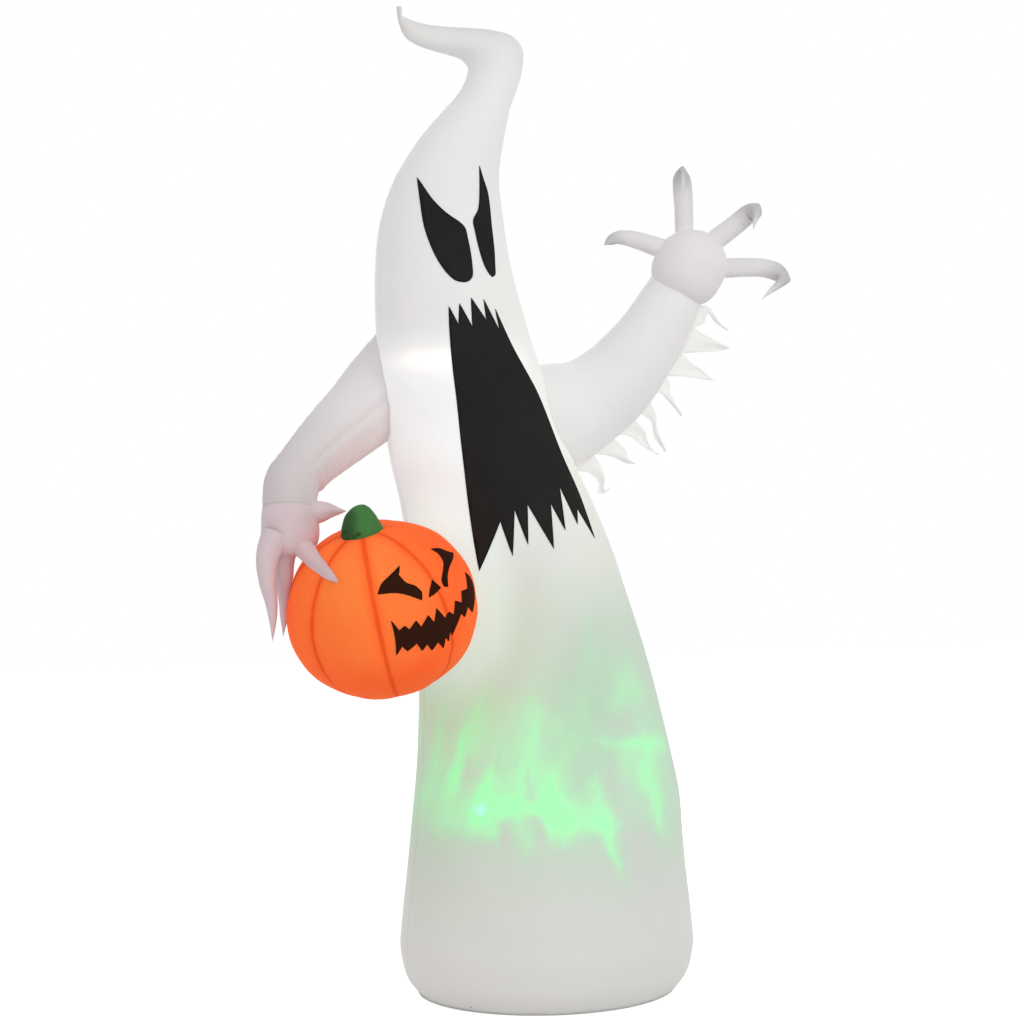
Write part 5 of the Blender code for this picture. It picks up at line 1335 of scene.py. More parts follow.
left_swell = sewn_swell(left_line, DOWN, 0.005, 0.0015, 1.7)
left_pole = LEFT_PALM_CENTRE - Vector(left_line(left_length * 0.9)[:3])
LEFT_SQUARENESS = (3.0, 2.0)
sleeve("left_sleeve_cloth", left_line, left_length, left_tube,
       in_palm(LEFT_PALM_CENTRE, LEFT_PALM_RADIUS - PALM_MARGIN, left_pole, LEFT_SQUARENESS),
       DOWN, left_swell, LEFT_ARM_CLOTH, "left_arm_sleeve")

# %% [markdown]
# The palm is a whole ball of two panels. Fingers are tubes that start at its skin. Where they are
# sewn in, the ball's cloth is drawn in a little, so each finger sits in a shallow dimple. On the left
# hand each finger's cloth is drawn out to a corner where it folds over to its claw.

# %% Palm tool
TOWARDS_VIEWER = Vector((-0.3746, -0.9272, 0.0))
PALM_BILLOW = 0.0016
PALM_GROOVE = 0.0014
PALM_GROOVE_WIDTH = 0.005
PALM_PUCKER = 0.0012
PALM_PUCKER_REACH = 0.02
DIMPLE_DEPTH = 0.0014
# Where a dimple starts to rise again and how fast, as shares of the finger's girth
DIMPLE_EDGE = 0.8
DIMPLE_REACH = 0.35


def palm_surface(bm, centre, radius, pole, squareness, dimples, seed):
    """Add a ball with its poles on a line and its seams on its sides, dimpled at the fingers' roots."""
    pole = pole.normalized()
    across = pole.cross(TOWARDS_VIEWER).normalized()
    turn = Matrix((across, pole.cross(across), pole)).transposed()

    def place(across, along):
        bearing = 2 * math.pi * across
        lift = math.pi * (along - 0.5)
        level = math.cos(lift)
        way = turn @ Vector((level * math.cos(bearing), level * math.sin(bearing), math.sin(lift)))
        power = squareness[lift > 0]
        size = (abs(math.sin(lift)) ** power + abs(math.cos(lift)) ** power) ** (-1 / power)
        out = radius * size + PALM_BILLOW * noise.noise(way * 2.4 + Vector((seed, 0, 0)))
        from_seam = abs(math.sin(bearing)) * level * radius
        out -= PALM_GROOVE * bell(from_seam / PALM_GROOVE_WIDTH)
        wave = wave_at(lift * 4.5, seed, 0)
        out -= PALM_PUCKER * (0.5 + wave) * math.exp(-from_seam / PALM_PUCKER_REACH)
        for root, girth in dimples:
            away = (way - root).length * radius / girth
            pleat = 1 + 0.5 * noise.noise((way - root) * 60)
            out -= DIMPLE_DEPTH * math.exp(-max(away - DIMPLE_EDGE, 0) / DIMPLE_REACH) * pleat
        return centre + way * out

    def sewing(across, along):
        lift = math.pi * (along - 0.5)
        return abs(math.sin(2 * math.pi * across)) * math.cos(lift) * radius, lift * radius

    lay(bm, PALM_COLUMNS, PALM_ROWS, place, sewing)
    weld(bm)


# %% Finger and hand tools
FINGER_COLUMNS = 40
FINGER_ROWS = 70
FINGER_MARGIN = 0.003
FINGER_GROOVE = 0.0008
FINGER_PUCKER = 0.0006
FINGER_CORD_RADIUS = 0.0006
# Fingers thinner than this stand out less in their folds
FULL_FINGER = 0.02
CORNER_REACH = 0.027
CORNER_PULL = 0.92


def finger_line(centre, radius, shares):
    """A finger's middle line and half thickness, run out to a point."""
    return smooth_line([(*(centre + Vector(row[:3]) * radius), row[3] * radius) for row in shares])


def draw_to(corner, bm):
    """Draw a bmesh's points out to a corner near them."""
    for vert in bm.verts:
        away = (corner - vert.co).length / CORNER_REACH
        vert.co = vert.co.lerp(corner, CORNER_PULL * math.exp(-(away ** 1.5) * 1.6))


def hand(side, centre, radius, pole, squareness, finger_shares, material, seed,
         press=None, corners=None):
    """A palm and its fingers, each pressed flat where it lies on something."""
    lines = {name: finger_line(centre, radius, shares) for name, shares in finger_shares.items()}
    dimples = []
    for name, (line, length) in lines.items():
        away = Vector(line(length * 0.2)[:3]) - centre
        dimples.append((away.normalized(), line(length * 0.1)[3]))
    bm = bmesh.new()
    palm_surface(bm, centre, radius, pole, squareness, dimples, seed)
    if press:
        press(bm)
    finished(side + "_palm_cloth", bm, material, [side + "_palm"], CLOTH_THICKNESS)
    in_this_palm = in_palm(centre, radius - FINGER_MARGIN, pole, squareness)
    for name, (line, length) in lines.items():
        place = tube_on(line, length, TOWARDS_VIEWER)
        starts = edges_of(place, FINGER_COLUMNS, UP, length * 0.4, 0.0, in_this_palm)
        swell = sewn_swell(line, UP, 0.001, 0.0, seed + len(name), FINGER_GROOVE, FINGER_PUCKER)

        def tapered(distance, turn, from_start, from_end):
            return swell(distance, turn, from_start, from_end) * min(1.0, line(distance)[3] / FULL_FINGER)

        bm = bmesh.new()
        root = cloth_tube(bm, FINGER_COLUMNS, FINGER_ROWS, place, line, starts,
                          [length] * FINGER_COLUMNS, UP, tapered)[0]
        if corners:
            draw_to(corners[name], bm)
        cord_along(bm, root, FINGER_CORD_RADIUS, loop_facing(root))
        if press:
            press(bm)
        finished(name + "_cloth", bm, material, [name])


# %% Left hand
# Place and half thickness from the palm's centre, as shares of the palm's radius
LEFT_FINGER_SHARES = {
    "left_thumb": (
        (-0.34, 0.20, 0.34, 0.28), (-0.88, 0.35, 0.51, 0.27), (-1.31, 0.42, 0.64, 0.25),
        (-1.69, 0.41, 0.71, 0.23), (-2.04, 0.36, 0.70, 0.19), (-2.33, 0.25, 0.59, 0.13),
        (-2.56, 0.11, 0.46, 0.0)),
    "left_index_finger": (
        (-0.13, 0.07, 0.50, 0.27), (-0.17, 0.07, 1.05, 0.27), (-0.21, 0.03, 1.68, 0.27),
        (-0.26, 0.00, 2.14, 0.27), (-0.31, -0.06, 2.40, 0.24), (-0.38, -0.23, 2.55, 0.12),
        (-0.46, -0.42, 2.50, 0.08), (-0.56, -0.63, 2.19, 0.05), (-0.63, -0.80, 1.73, 0.0)),
    "left_middle_finger": (
        (0.33, -0.13, 0.44, 0.29), (0.66, -0.28, 0.72, 0.29), (1.00, -0.46, 1.01, 0.28),
        (1.27, -0.64, 1.27, 0.28), (1.42, -0.82, 1.43, 0.26), (1.44, -1.04, 1.40, 0.21),
        (1.35, -1.23, 1.22, 0.10), (1.22, -1.40, 1.04, 0.05), (1.12, -1.50, 0.85, 0.0)),
    "left_little_finger": (
        (0.46, -0.19, -0.07, 0.27), (0.96, -0.40, -0.08, 0.27), (1.48, -0.61, -0.06, 0.26),
        (1.88, -0.78, -0.08, 0.26), (2.14, -0.98, -0.20, 0.26), (2.19, -1.21, -0.40, 0.20),
        (2.02, -1.31, -0.57, 0.12), (1.77, -1.34, -0.76, 0.07), (1.46, -1.37, -1.01, 0.0))}
# The corner that each finger's cloth is drawn to where it folds over to its claw
LEFT_CORNER_SHARES = {
    "left_thumb": (-2.60, 0.11, 0.43), "left_index_finger": (-0.36, -0.21, 2.69),
    "left_middle_finger": (1.56, -1.07, 1.66), "left_little_finger": (2.44, -1.28, -0.46)}
left_corners = {name: LEFT_PALM_CENTRE + Vector(shares) * LEFT_PALM_RADIUS
                for name, shares in LEFT_CORNER_SHARES.items()}
LEFT_HAND_CLOTH = clawed_cloth(
    "left_hand_cloth", (0.66, 0.645, 0.65), (0.51, 0.50, 0.49), (0.150, 0.134, 0.150),
    (0.085, 0.075, 0.085), (0.025, 0.025, 0.025), LEFT_PALM_CENTRE, left_corners.values())
hand("left", LEFT_PALM_CENTRE, LEFT_PALM_RADIUS, left_pole, LEFT_SQUARENESS, LEFT_FINGER_SHARES,
     LEFT_HAND_CLOTH, 4.1, corners=left_corners)

# %% [markdown]
# ## Tattered fringe
#
# The fringe is one flat layer of cloth sewn into the seam under the sleeve and cut into eight long
# tatters. Each is laid between two drawn edges that meet at its tip, then rippled a little to both
# sides, because loose cloth never hangs quite flat.

# %% Fringe
# The band's outer corners along the sleeve, then each tatter's upper and lower edge out to its
# tip. Across and up, in metres, in the arm's own upright plane
FRINGE_ROOTS = (
    (0.439, 1.922), (0.435, 1.857), (0.399, 1.783), (0.351, 1.716), (0.300, 1.655), (0.253, 1.607),
    (0.195, 1.542), (0.140, 1.493), (0.094, 1.447))
TATTERS = (
    (((0.478, 1.916), (0.497, 1.892), (0.517, 1.864), (0.534, 1.851)),
     ((0.458, 1.868), (0.475, 1.898), (0.495, 1.876), (0.534, 1.851))),
    (((0.451, 1.843), (0.486, 1.825), (0.534, 1.799)), ((0.462, 1.788), (0.513, 1.792), (0.534, 1.799))),
    (((0.420, 1.759), (0.451, 1.739), (0.478, 1.718), (0.491, 1.706)),
     ((0.389, 1.717), (0.431, 1.712), (0.466, 1.708), (0.491, 1.706))),
    (((0.362, 1.695), (0.362, 1.673), (0.375, 1.647), (0.395, 1.605)),
     ((0.335, 1.668), (0.350, 1.654), (0.370, 1.633), (0.395, 1.605))),
    (((0.312, 1.631), (0.322, 1.604), (0.323, 1.570), (0.333, 1.536), (0.347, 1.502)),
     ((0.277, 1.608), (0.297, 1.598), (0.311, 1.578), (0.312, 1.555), (0.347, 1.502))),
    (((0.270, 1.581), (0.289, 1.559), (0.297, 1.532), (0.328, 1.493)),
     ((0.228, 1.549), (0.247, 1.543), (0.274, 1.521), (0.328, 1.493))),
    (((0.216, 1.524), (0.235, 1.505), (0.241, 1.486), (0.260, 1.467)),
     ((0.178, 1.491), (0.205, 1.484), (0.243, 1.468), (0.260, 1.467))),
    (((0.156, 1.471), (0.169, 1.441), (0.173, 1.414), (0.169, 1.399), (0.176, 1.390), (0.188, 1.397)),
     ((0.133, 1.439), (0.150, 1.424), (0.158, 1.403), (0.152, 1.384), (0.167, 1.381), (0.188, 1.397))))
TATTER_COLUMNS = 10
TATTER_ROWS = 26
BAND_ROWS = 6
RIPPLE = 0.010
LOOSE_WAVE = 0.014
TATTER_WELD = 0.0004
FRINGE_THICKNESS = 0.0006
arm_plane_start = left_arm_place(*LEFT_ARM_SHARES[1][:3])


def in_arm_plane(across, up, aside=0.0):
    """A place in the arm's upright plane, given by its x and z."""
    share = (across - arm_plane_start.x) / ARM_PLANE_WAY.x
    place = arm_plane_start + ARM_PLANE_WAY * share + ARM_PLANE_BACK * aside
    return Vector((place.x, place.y, up))


seam_under_sleeve = []
for index in range(241):
    distance = left_length * (0.10 + 0.85 * index / 240)
    below = left_tube(distance, DOWN, -0.0015)
    if not in_body(below) and (below - LEFT_PALM_CENTRE).length > LEFT_PALM_RADIUS:
        seam_under_sleeve.append(below)


def seam_near(place):
    return min(seam_under_sleeve, key=lambda point: (point - place).length)


def edge_line(points):
    line, length = smooth_line([(across, up, 0) for across, up in points])
    return lambda share: line(share * length)


def tatter(bm, index):
    """Add one tatter and the part of the band above it."""
    upper, lower = TATTERS[index]
    root, after = FRINGE_ROOTS[index], FRINGE_ROOTS[index + 1]
    over = edge_line((root,) + upper)
    under = edge_line((after,) + lower)

    def ripple(across, along):
        wave = math.sin(across * 5.0 + index * 2.1 + along * 3.0) * RIPPLE * along
        return wave + LOOSE_WAVE * wave_at(index * 3.3, along * 1.6, across * 0.7) * along

    def leaf(across, along):
        point = over(along).lerp(under(along), across)
        return in_arm_plane(point.x, point.y, ripple(across, along))

    def band(across, along):
        point = Vector((*root, 0)).lerp(Vector((*after, 0)), across)
        outer = in_arm_plane(point.x, point.y)
        return seam_near(outer).lerp(outer, along)

    lay(bm, TATTER_COLUMNS, TATTER_ROWS, leaf, lambda across, along: (0.004 + along * 0.1, across * 0.06))
    lay(bm, TATTER_COLUMNS, BAND_ROWS, band, lambda across, along: (along * 0.03, (index + across) * 0.08))


bm = bmesh.new()
for index in range(len(TATTERS)):
    tatter(bm, index)
weld(bm, TATTER_WELD)
face_outwards(bm)
fringe_area = sum(face.calc_area() for face in bm.faces)
fringe = finished("left_sleeve_tatters", bm, FRINGE_CLOTH, ["left_sleeve_fringe"],
                  FRINGE_THICKNESS)
print("fringe area", round(fringe_area, 4), "square metres")

# %% [markdown]
# ## Pumpkin
#
# A lobed ball of orange cloth: eight panels bulge between eight seams that meet at the stem. It is
# pressed against the body's side, so points that would lie inside the body are moved onto its skin.

# %% Pumpkin place
PUMPKIN_RADIUS = 0.252
PUMPKIN_HALF_HEIGHT = 0.228
PUMPKIN_CENTRE_HEIGHT = 1.079
PUMPKIN_BEARING = math.radians(205)
PUMPKIN_PRESS = 0.011
PUMPKIN_LEAN = math.radians(23.5)
PUMPKIN_LEAN_BEARING = math.radians(216)
PUMPKIN_TURN = math.radians(15)
PUMPKIN_LOBES = 8
PUMPKIN_LOBE_TURN = math.radians(11.25)
PUMPKIN_LOBE_SHARE = 0.030
PUMPKIN_HAND_SHARES = (-0.893, 0.298, 0.829)
PUMPKIN_COLUMNS = 192
PUMPKIN_ROWS = 110
PUMPKIN_GAP = 0.0015
# The seams lean a little round the pumpkin as they go down, as share of a turn from pole to pole
SEAM_LEAN = 0.014
# Seams under the brightest cloth hardly show
FAINT_SEAMS = (7, 0, 1)
FAINT_SEAM_OFFSET = 0.0065


def pumpkin_place():
    touch = skin_point(PUMPKIN_CENTRE_HEIGHT, PUMPKIN_BEARING)[0]
    centre = touch + level_way(PUMPKIN_BEARING) * (PUMPKIN_RADIUS - PUMPKIN_PRESS)
    lean_axis = Vector((-math.sin(PUMPKIN_LEAN_BEARING), math.cos(PUMPKIN_LEAN_BEARING), 0))
    lean = Matrix.Rotation(PUMPKIN_LEAN, 4, lean_axis)
    return Matrix.Translation(centre) @ lean @ Matrix.Rotation(PUMPKIN_TURN, 4, "Z")


PUMPKIN_FRAME = pumpkin_place()
PUMPKIN_AXES = PUMPKIN_FRAME.to_3x3()
print("pumpkin at", [round(value, 3) for value in PUMPKIN_FRAME.translation])


def pressed_on(tree, gap):
    """A function that moves a bmesh's points out of a skin that they would lie inside."""

    def press(bm):
        for vert in bm.verts:
            nearest, normal = tree.find_nearest(vert.co)[:2]
            if (vert.co - nearest).dot(normal) < gap:
                vert.co = nearest + normal * gap
    return press


# %% Pumpkin shell
PUMPKIN_PUCKER = 0.0035
PUMPKIN_PUCKER_REACH = 0.016
PUMPKIN_BILLOW = 0.0030
# The dent at both poles, and the pleats that run into it
CROWN_DEPTH = 0.010
CROWN_SIZE = 0.02
LOWER_CROWN_SHARE = 0.6
PUMPKIN_PLEAT = 0.0035


def pumpkin_point(across, along):
    bearing = 2 * math.pi * (across - SEAM_LEAN * (0.8 - along)) + PUMPKIN_LOBE_TURN
    lift = math.pi * (along - 0.5)
    lobe = abs(math.sin(math.pi * across * PUMPKIN_LOBES))
    level = math.cos(lift)
    from_seam = lobe * level * PUMPKIN_RADIUS / PUMPKIN_LOBES * 2
    size = 1 - PUMPKIN_LOBE_SHARE * (1 - lobe ** 0.8)
    way = Vector((level * math.cos(bearing) * size, level * math.sin(bearing) * size, math.sin(lift)))
    seam_number = math.floor(across * PUMPKIN_LOBES + 0.5) % PUMPKIN_LOBES
    wave = wave_at(lift * 7.0, seam_number * 5.3, 0)
    sink = PUMPKIN_PUCKER * (0.5 + wave) * math.exp(-from_seam / PUMPKIN_PUCKER_REACH) * level
    sink += PUMPKIN_BILLOW * noise.noise(way * 3.0)
    crown = math.exp(-((1 - abs(math.sin(lift))) / CROWN_SIZE))
    sink += CROWN_DEPTH * crown * (1 if lift > 0 else LOWER_CROWN_SHARE)
    pleat = wave_round(bearing, 5, 2.2)
    sink += PUMPKIN_PLEAT * pleat * math.exp(-level / 0.22) * min(1.0, level / 0.05)
    local = Vector((way.x * PUMPKIN_RADIUS, way.y * PUMPKIN_RADIUS, way.z * PUMPKIN_HALF_HEIGHT))
    return PUMPKIN_FRAME @ (local - way.normalized() * sink)


def pumpkin_sewing(across, along):
    share = (across * PUMPKIN_LOBES) % 1.0
    level = max(math.cos(math.pi * (along - 0.5)), 0.0)
    girth = 2 * math.pi * PUMPKIN_RADIUS / PUMPKIN_LOBES
    seam = math.floor(across * PUMPKIN_LOBES + 0.5) % PUMPKIN_LOBES
    faint = FAINT_SEAM_OFFSET if seam in FAINT_SEAMS else 0.0
    return min(share, 1 - share) * girth * level + faint, along * math.pi * PUMPKIN_RADIUS


bm = bmesh.new()
lay(bm, PUMPKIN_COLUMNS, PUMPKIN_ROWS, pumpkin_point, pumpkin_sewing)
weld(bm)
pressed_on(SKIN_TREE, PUMPKIN_GAP)(bm)
PUMPKIN_TREE = tree_of(bm)
finished("pumpkin_cloth", bm, ORANGE_CLOTH, ["pumpkin_shell"], CLOTH_THICKNESS)

# %% Pumpkin face
# Across and up, as shares of the pumpkin's radius
PUMPKIN_FACE_SHARES = {
    "pumpkin_right_eye": (
        (-0.42, 0.49), (-0.34, 0.56), (-0.22, 0.61), (-0.09, 0.65), (-0.16, 0.59), (-0.14, 0.51),
        (-0.07, 0.45), (-0.04, 0.38), (-0.08, 0.32), (-0.20, 0.42), (-0.30, 0.47)),
    "pumpkin_left_eye": (
        (0.36, 0.63), (0.46, 0.59), (0.56, 0.51), (0.65, 0.45), (0.59, 0.45), (0.44, 0.44), (0.34, 0.39),
        (0.28, 0.30), (0.24, 0.32), (0.25, 0.38), (0.33, 0.45), (0.39, 0.50), (0.40, 0.57)),
    "pumpkin_nose": ((0.15, 0.42), (0.20, 0.32), (0.13, 0.31), (0.01, 0.31), (0.06, 0.36)),
    "pumpkin_mouth": (
        (-0.43, 0.23), (-0.40, 0.12), (-0.34, 0.15), (-0.31, 0.10), (-0.22, 0.16), (-0.19, 0.08),
        (-0.08, 0.16), (-0.04, 0.06), (0.04, 0.18), (0.11, 0.04), (0.19, 0.07), (0.23, 0.02),
        (0.30, 0.14), (0.38, 0.08), (0.43, 0.18), (0.54, 0.15), (0.63, 0.27), (0.69, 0.17),
        (0.66, 0.04), (0.51, -0.09), (0.45, 0.01), (0.36, -0.06), (0.32, 0.00), (0.20, -0.12),
        (0.16, -0.17), (0.13, -0.10), (0.09, -0.20), (0.05, -0.13), (0.01, -0.24), (-0.05, -0.14),
        (-0.13, -0.20), (-0.17, -0.11), (-0.23, -0.16), (-0.27, -0.06), (-0.37, -0.11),
        (-0.41, -0.04), (-0.47, -0.12), (-0.45, 0.05))}
PUMPKIN_CELL = 0.009


def on_pumpkin(across, up):
    start = PUMPKIN_FRAME @ Vector((across, -0.6, up))
    return PUMPKIN_TREE.ray_cast(start, PUMPKIN_AXES @ Vector((0, 1, 0)))[:2]


for name, shares in PUMPKIN_FACE_SHARES.items():
    outline = [(across * PUMPKIN_RADIUS, up * PUMPKIN_RADIUS) for across, up in shares]
    sewn_patch(name + "_cloth", outline, on_pumpkin, PUMPKIN_AXES @ Vector((0, -1, 0)), PUMPKIN_CELL,
               PUMPKIN_BLACK_CLOTH, [name])

# %% Stem
STEM_RADIUS = 0.052
STEM_HEIGHT = 0.058
# Lean, rise and girth, as shares of the sizes above
STEM_SHARES = (
    (0.00, -0.45, 1.04), (0.01, -0.05, 1.02), (0.06, 0.22, 0.93), (0.12, 0.48, 0.80), (0.18, 0.70, 0.64),
    (0.22, 0.87, 0.46), (0.24, 0.97, 0.27), (0.245, 1.01, 0.12), (0.246, 1.02, 0.0))
STEM_COLUMNS = 64
STEM_ROWS = 40
STEM_CRUMPLE = 0.0034
STEM_PLEAT = 0.0012
STEM_PLEATS = 6
STEM_CORD_RADIUS = 0.0014
pole = PUMPKIN_FRAME @ Vector((0, 0, PUMPKIN_HALF_HEIGHT))
pumpkin_up = PUMPKIN_AXES @ Vector((0, 0, 1))
pumpkin_side = PUMPKIN_AXES @ Vector((1, 0, 0))
stem_line, stem_length = smooth_line([
    (*(pole + pumpkin_up * rise * STEM_HEIGHT + pumpkin_side * lean * STEM_HEIGHT), girth * STEM_RADIUS)
    for lean, rise, girth in STEM_SHARES])
stem_tube = tube_on(stem_line, stem_length, TOWARDS_VIEWER)


def in_pumpkin(point):
    nearest, normal = PUMPKIN_TREE.find_nearest(point)[:2]
    return (point - nearest).dot(normal) < 0


def stem_swell(distance, turn, from_start, from_end):
    crumple = wave_round(turn, 2.6, distance * 26)
    pleat = math.sin(turn * STEM_PLEATS + 0.6) * STEM_PLEAT
    return (crumple * STEM_CRUMPLE + pleat) * min(1.0, from_end / 0.03)


bm = bmesh.new()
starts = edges_of(stem_tube, STEM_COLUMNS, 0.0, stem_length * 0.6, 0.0, in_pumpkin)
root = cloth_tube(bm, STEM_COLUMNS, STEM_ROWS, stem_tube, stem_line, starts,
                  [stem_length] * STEM_COLUMNS, 0.0, stem_swell)[0]
cord_along(bm, root, STEM_CORD_RADIUS, loop_facing(root))
finished("pumpkin_stem_cloth", bm, GREEN_CLOTH, ["pumpkin_stem"])

# %% [markdown]
# ## Right arm
#
# The right sleeve comes out of the body's other side, bends at the elbow over the pumpkin, and its
# hand lies on the orange cloth. A long crease splits the upper arm from a flatter face below it.

# %% Right arm and hand
RIGHT_SHOULDER_HEIGHT = 1.665
RIGHT_ARM_HALF = 0.146
RIGHT_PALM_RADIUS = 0.075
# Shares of the way from the body's side to the hand: across, forward, down, and girth
RIGHT_ARM_SHARES = (
    (-0.42, -0.22, -0.265, 0.965), (-0.08, -0.57, 0.01, 0.81), (0.17, -0.35, 0.183, 0.725),
    (0.51, 0.05, 0.39, 0.61), (0.79, 0.46, 0.57, 0.525), (0.92, 0.64, 0.67, 0.50),
    (0.98, 0.86, 0.81, 0.48), (1.00, 1.00, 0.93, 0.45))
RIGHT_FINGER_SHARES = {
    "right_thumb": (
        (0.22, -0.12, 0.52, 0.43), (0.85, -0.38, 0.56, 0.41), (1.24, -0.52, 0.60, 0.29),
        (1.54, -0.58, 0.59, 0.14), (1.85, -0.61, 0.59, 0.0)),
    "right_index_finger": (
        (0.09, -0.24, -0.25, 0.40), (0.34, -0.76, -0.74, 0.35), (0.57, -1.72, -1.28, 0.25),
        (0.63, -2.78, -1.59, 0.16), (0.67, -3.55, -1.76, 0.0)),
    "right_middle_finger": (
        (-0.60, -0.40, -0.20, 0.52), (-0.92, -0.50, -0.95, 0.40), (-0.95, -0.58, -1.83, 0.29),
        (-0.82, -0.61, -2.54, 0.21), (-0.79, -0.68, -3.18, 0.12), (-0.80, -0.69, -3.85, 0.0)),
    "right_little_finger": (
        (-0.06, 0.02, -0.41, 0.44), (-0.19, 0.04, -1.10, 0.37), (-0.20, 0.03, -1.85, 0.31),
        (-0.18, 0.06, -2.54, 0.20), (-0.18, 0.11, -3.09, 0.13), (-0.19, 0.17, -3.74, 0.0))}


def right_arm():
    centre, half_width = body_at(RIGHT_SHOULDER_HEIGHT)[:2]
    shoulder = Vector((centre - half_width, 0, RIGHT_SHOULDER_HEIGHT))
    palm_centre = PUMPKIN_FRAME.translation + Vector(PUMPKIN_HAND_SHARES) * PUMPKIN_RADIUS
    way = palm_centre - shoulder
    return palm_centre, [
        (*(shoulder + Vector((across * way.x, forward * way.y, down * way.z))), girth * RIGHT_ARM_HALF)
        for across, forward, down, girth in RIGHT_ARM_SHARES]


RIGHT_PALM_CENTRE, right_rows = right_arm()
right_line, right_length = smooth_line(right_rows)
# The sleeve is flatter from front to back where it is sewn on, and round from the elbow on
RIGHT_ROOT_FLATNESS = 0.76
right_tube = tube_on(right_line, right_length, TOWARDS_VIEWER, RIGHT_ROOT_FLATNESS)
# The long crease: its turn and width in radians, and its middle and reach as shares of the sleeve
CREASE_TURN = -0.30
CREASE_WIDTH = 0.11
CREASE_DEPTH = 0.009
CREASE_MIDDLE = 0.48
CREASE_REACH = 0.30
# The flatter face below it
FLAT_TURN = 0.75
FLAT_WIDTH = 0.55
FLAT_DEPTH = 0.008
ELBOW_MIDDLE = 0.775
ELBOW_REACH = 0.05
ELBOW_DEPTH = 0.004
right_plain = sewn_swell(right_line, DOWN, 0.004, 0.001, 8.3)


def right_swell(distance, turn, from_start, from_end):
    """The right sleeve's cloth, with its long crease and its creased elbow."""
    share = distance / right_length
    away = (turn - CREASE_TURN + math.pi) % (2 * math.pi) - math.pi
    reach = math.exp(-((share - CREASE_MIDDLE) / CREASE_REACH) ** 4)
    out = right_plain(distance, turn, from_start, from_end)
    out -= CREASE_DEPTH * bell(away / CREASE_WIDTH) * reach
    out -= FLAT_DEPTH * bell((away + FLAT_TURN) / FLAT_WIDTH) * reach
    elbow = bell((share - ELBOW_MIDDLE) / ELBOW_REACH)
    return out - ELBOW_DEPTH * elbow * (0.5 + wave_at(distance * 60, turn * 1.5, 4.0))


RIGHT_POLE = Vector((0, 0, -1))
RIGHT_SQUARENESS = (3.6, 3.0)
RIGHT_HAND_GAP = 0.0008
sleeve("right_sleeve_cloth", right_line, right_length, right_tube,
       in_palm(RIGHT_PALM_CENTRE, RIGHT_PALM_RADIUS - PALM_MARGIN, RIGHT_POLE, RIGHT_SQUARENESS),
       DOWN, right_swell, RIGHT_ARM_CLOTH, "right_arm_sleeve")
hand("right", RIGHT_PALM_CENTRE, RIGHT_PALM_RADIUS, RIGHT_POLE, RIGHT_SQUARENESS, RIGHT_FINGER_SHARES,
     RIGHT_HAND_CLOTH, 6.4, press=pressed_on(PUMPKIN_TREE, RIGHT_HAND_GAP))

# %% [markdown]
# ## Back: blower boot, zip and loops
#
# The boot is a short cloth sleeve that gathers round the fan housing and is drawn tight by the
# clamp. The zip is a strip of tape with a chain of small teeth, and the loops are folded webbing.

# %% Blower boot
BLOWER_HEIGHT = 0.140
BOOT_RADIUS = 0.0722
BOOT_LENGTH = 0.046
# The boot starts this far inside the body
BOOT_ROOT = 0.05
CLAMP_LOW = 0.026
CLAMP_HIGH = 0.041
BOOT_LOOSE_REACH = 0.012
BOOT_PLEATS = 26
BOOT_COLUMNS = 208
BOOT_ROWS = 30
blower_centre = skin_point(BLOWER_HEIGHT, math.radians(90))[0]
boot_line, boot_length = smooth_line([
    (*(blower_centre + Vector((0, depth, 0))), BOOT_RADIUS) for depth in (-BOOT_ROOT, 0.0, BOOT_LENGTH)])
boot_tube = tube_on(boot_line, boot_length, Vector((0, 0, 1)))


def boot_swell(distance, turn, from_start, from_end):
    """The boot's cloth: loose pleats up to the clamp, and a small flare past it."""
    depth = distance - BOOT_ROOT
    pleat = 0.5 + 0.5 * math.sin(turn * BOOT_PLEATS + 2.0 * wave_round(turn, 2, 0))
    loose = math.exp(-(depth / BOOT_LOOSE_REACH)) if depth < CLAMP_LOW else 0.0
    flared = max(0.0, depth - CLAMP_HIGH) / (BOOT_LENGTH - CLAMP_HIGH)
    return loose * (0.004 + 0.004 * pleat) + flared * (0.0006 + 0.0016 * pleat)


bm = bmesh.new()
starts = edges_of(boot_tube, BOOT_COLUMNS, 0.0, 0.09, 0.0, in_body)
first, last = cloth_tube(bm, BOOT_COLUMNS, BOOT_ROWS, boot_tube, boot_line, starts,
                         [boot_length] * BOOT_COLUMNS, 0.0, boot_swell)
cord_along(bm, last, 0.0009, (0, 1, 0), sides=6)
cord_along(bm, first, 0.0015, (0, 1, 0))
finished("blower_boot_cloth", bm, BOOT_CLOTH, ["blower_boot"])

# %% Webbing strip tool
def close_ends(bm):
    bmesh.ops.holes_fill(bm, edges=[edge for edge in bm.edges if edge.is_boundary], sides=0)


def strip(name, points, side, half_width, thickness, node):
    """A piece of flat webbing along points, half its width to each side of them."""
    bm = bmesh.new()
    profile = [(-1, -1), (1, -1), (1, 1), (-1, 1)]
    count = len(points)

    def place(across, along):
        index = round(along * (count - 1))
        corner = profile[round(across * 4) % 4]
        before, after = points[max(index - 1, 0)], points[min(index + 1, count - 1)]
        ahead = (after - before).normalized()
        out = ahead.cross(side).normalized()
        return points[index] + side * corner[0] * half_width + out * corner[1] * thickness / 2

    def sewing(across, along):
        corner = profile[round(across * 4) % 4]
        return half_width * (1 + corner[0]), along * (count - 1) * (points[1] - points[0]).length

    made = lay(bm, 4, count - 1, place, sewing)
    bmesh.ops.remove_doubles(bm, verts=made, dist=WELD)
    close_ends(bm)
    face_outwards(bm)
    finished(name, bm, WEBBING, [node])


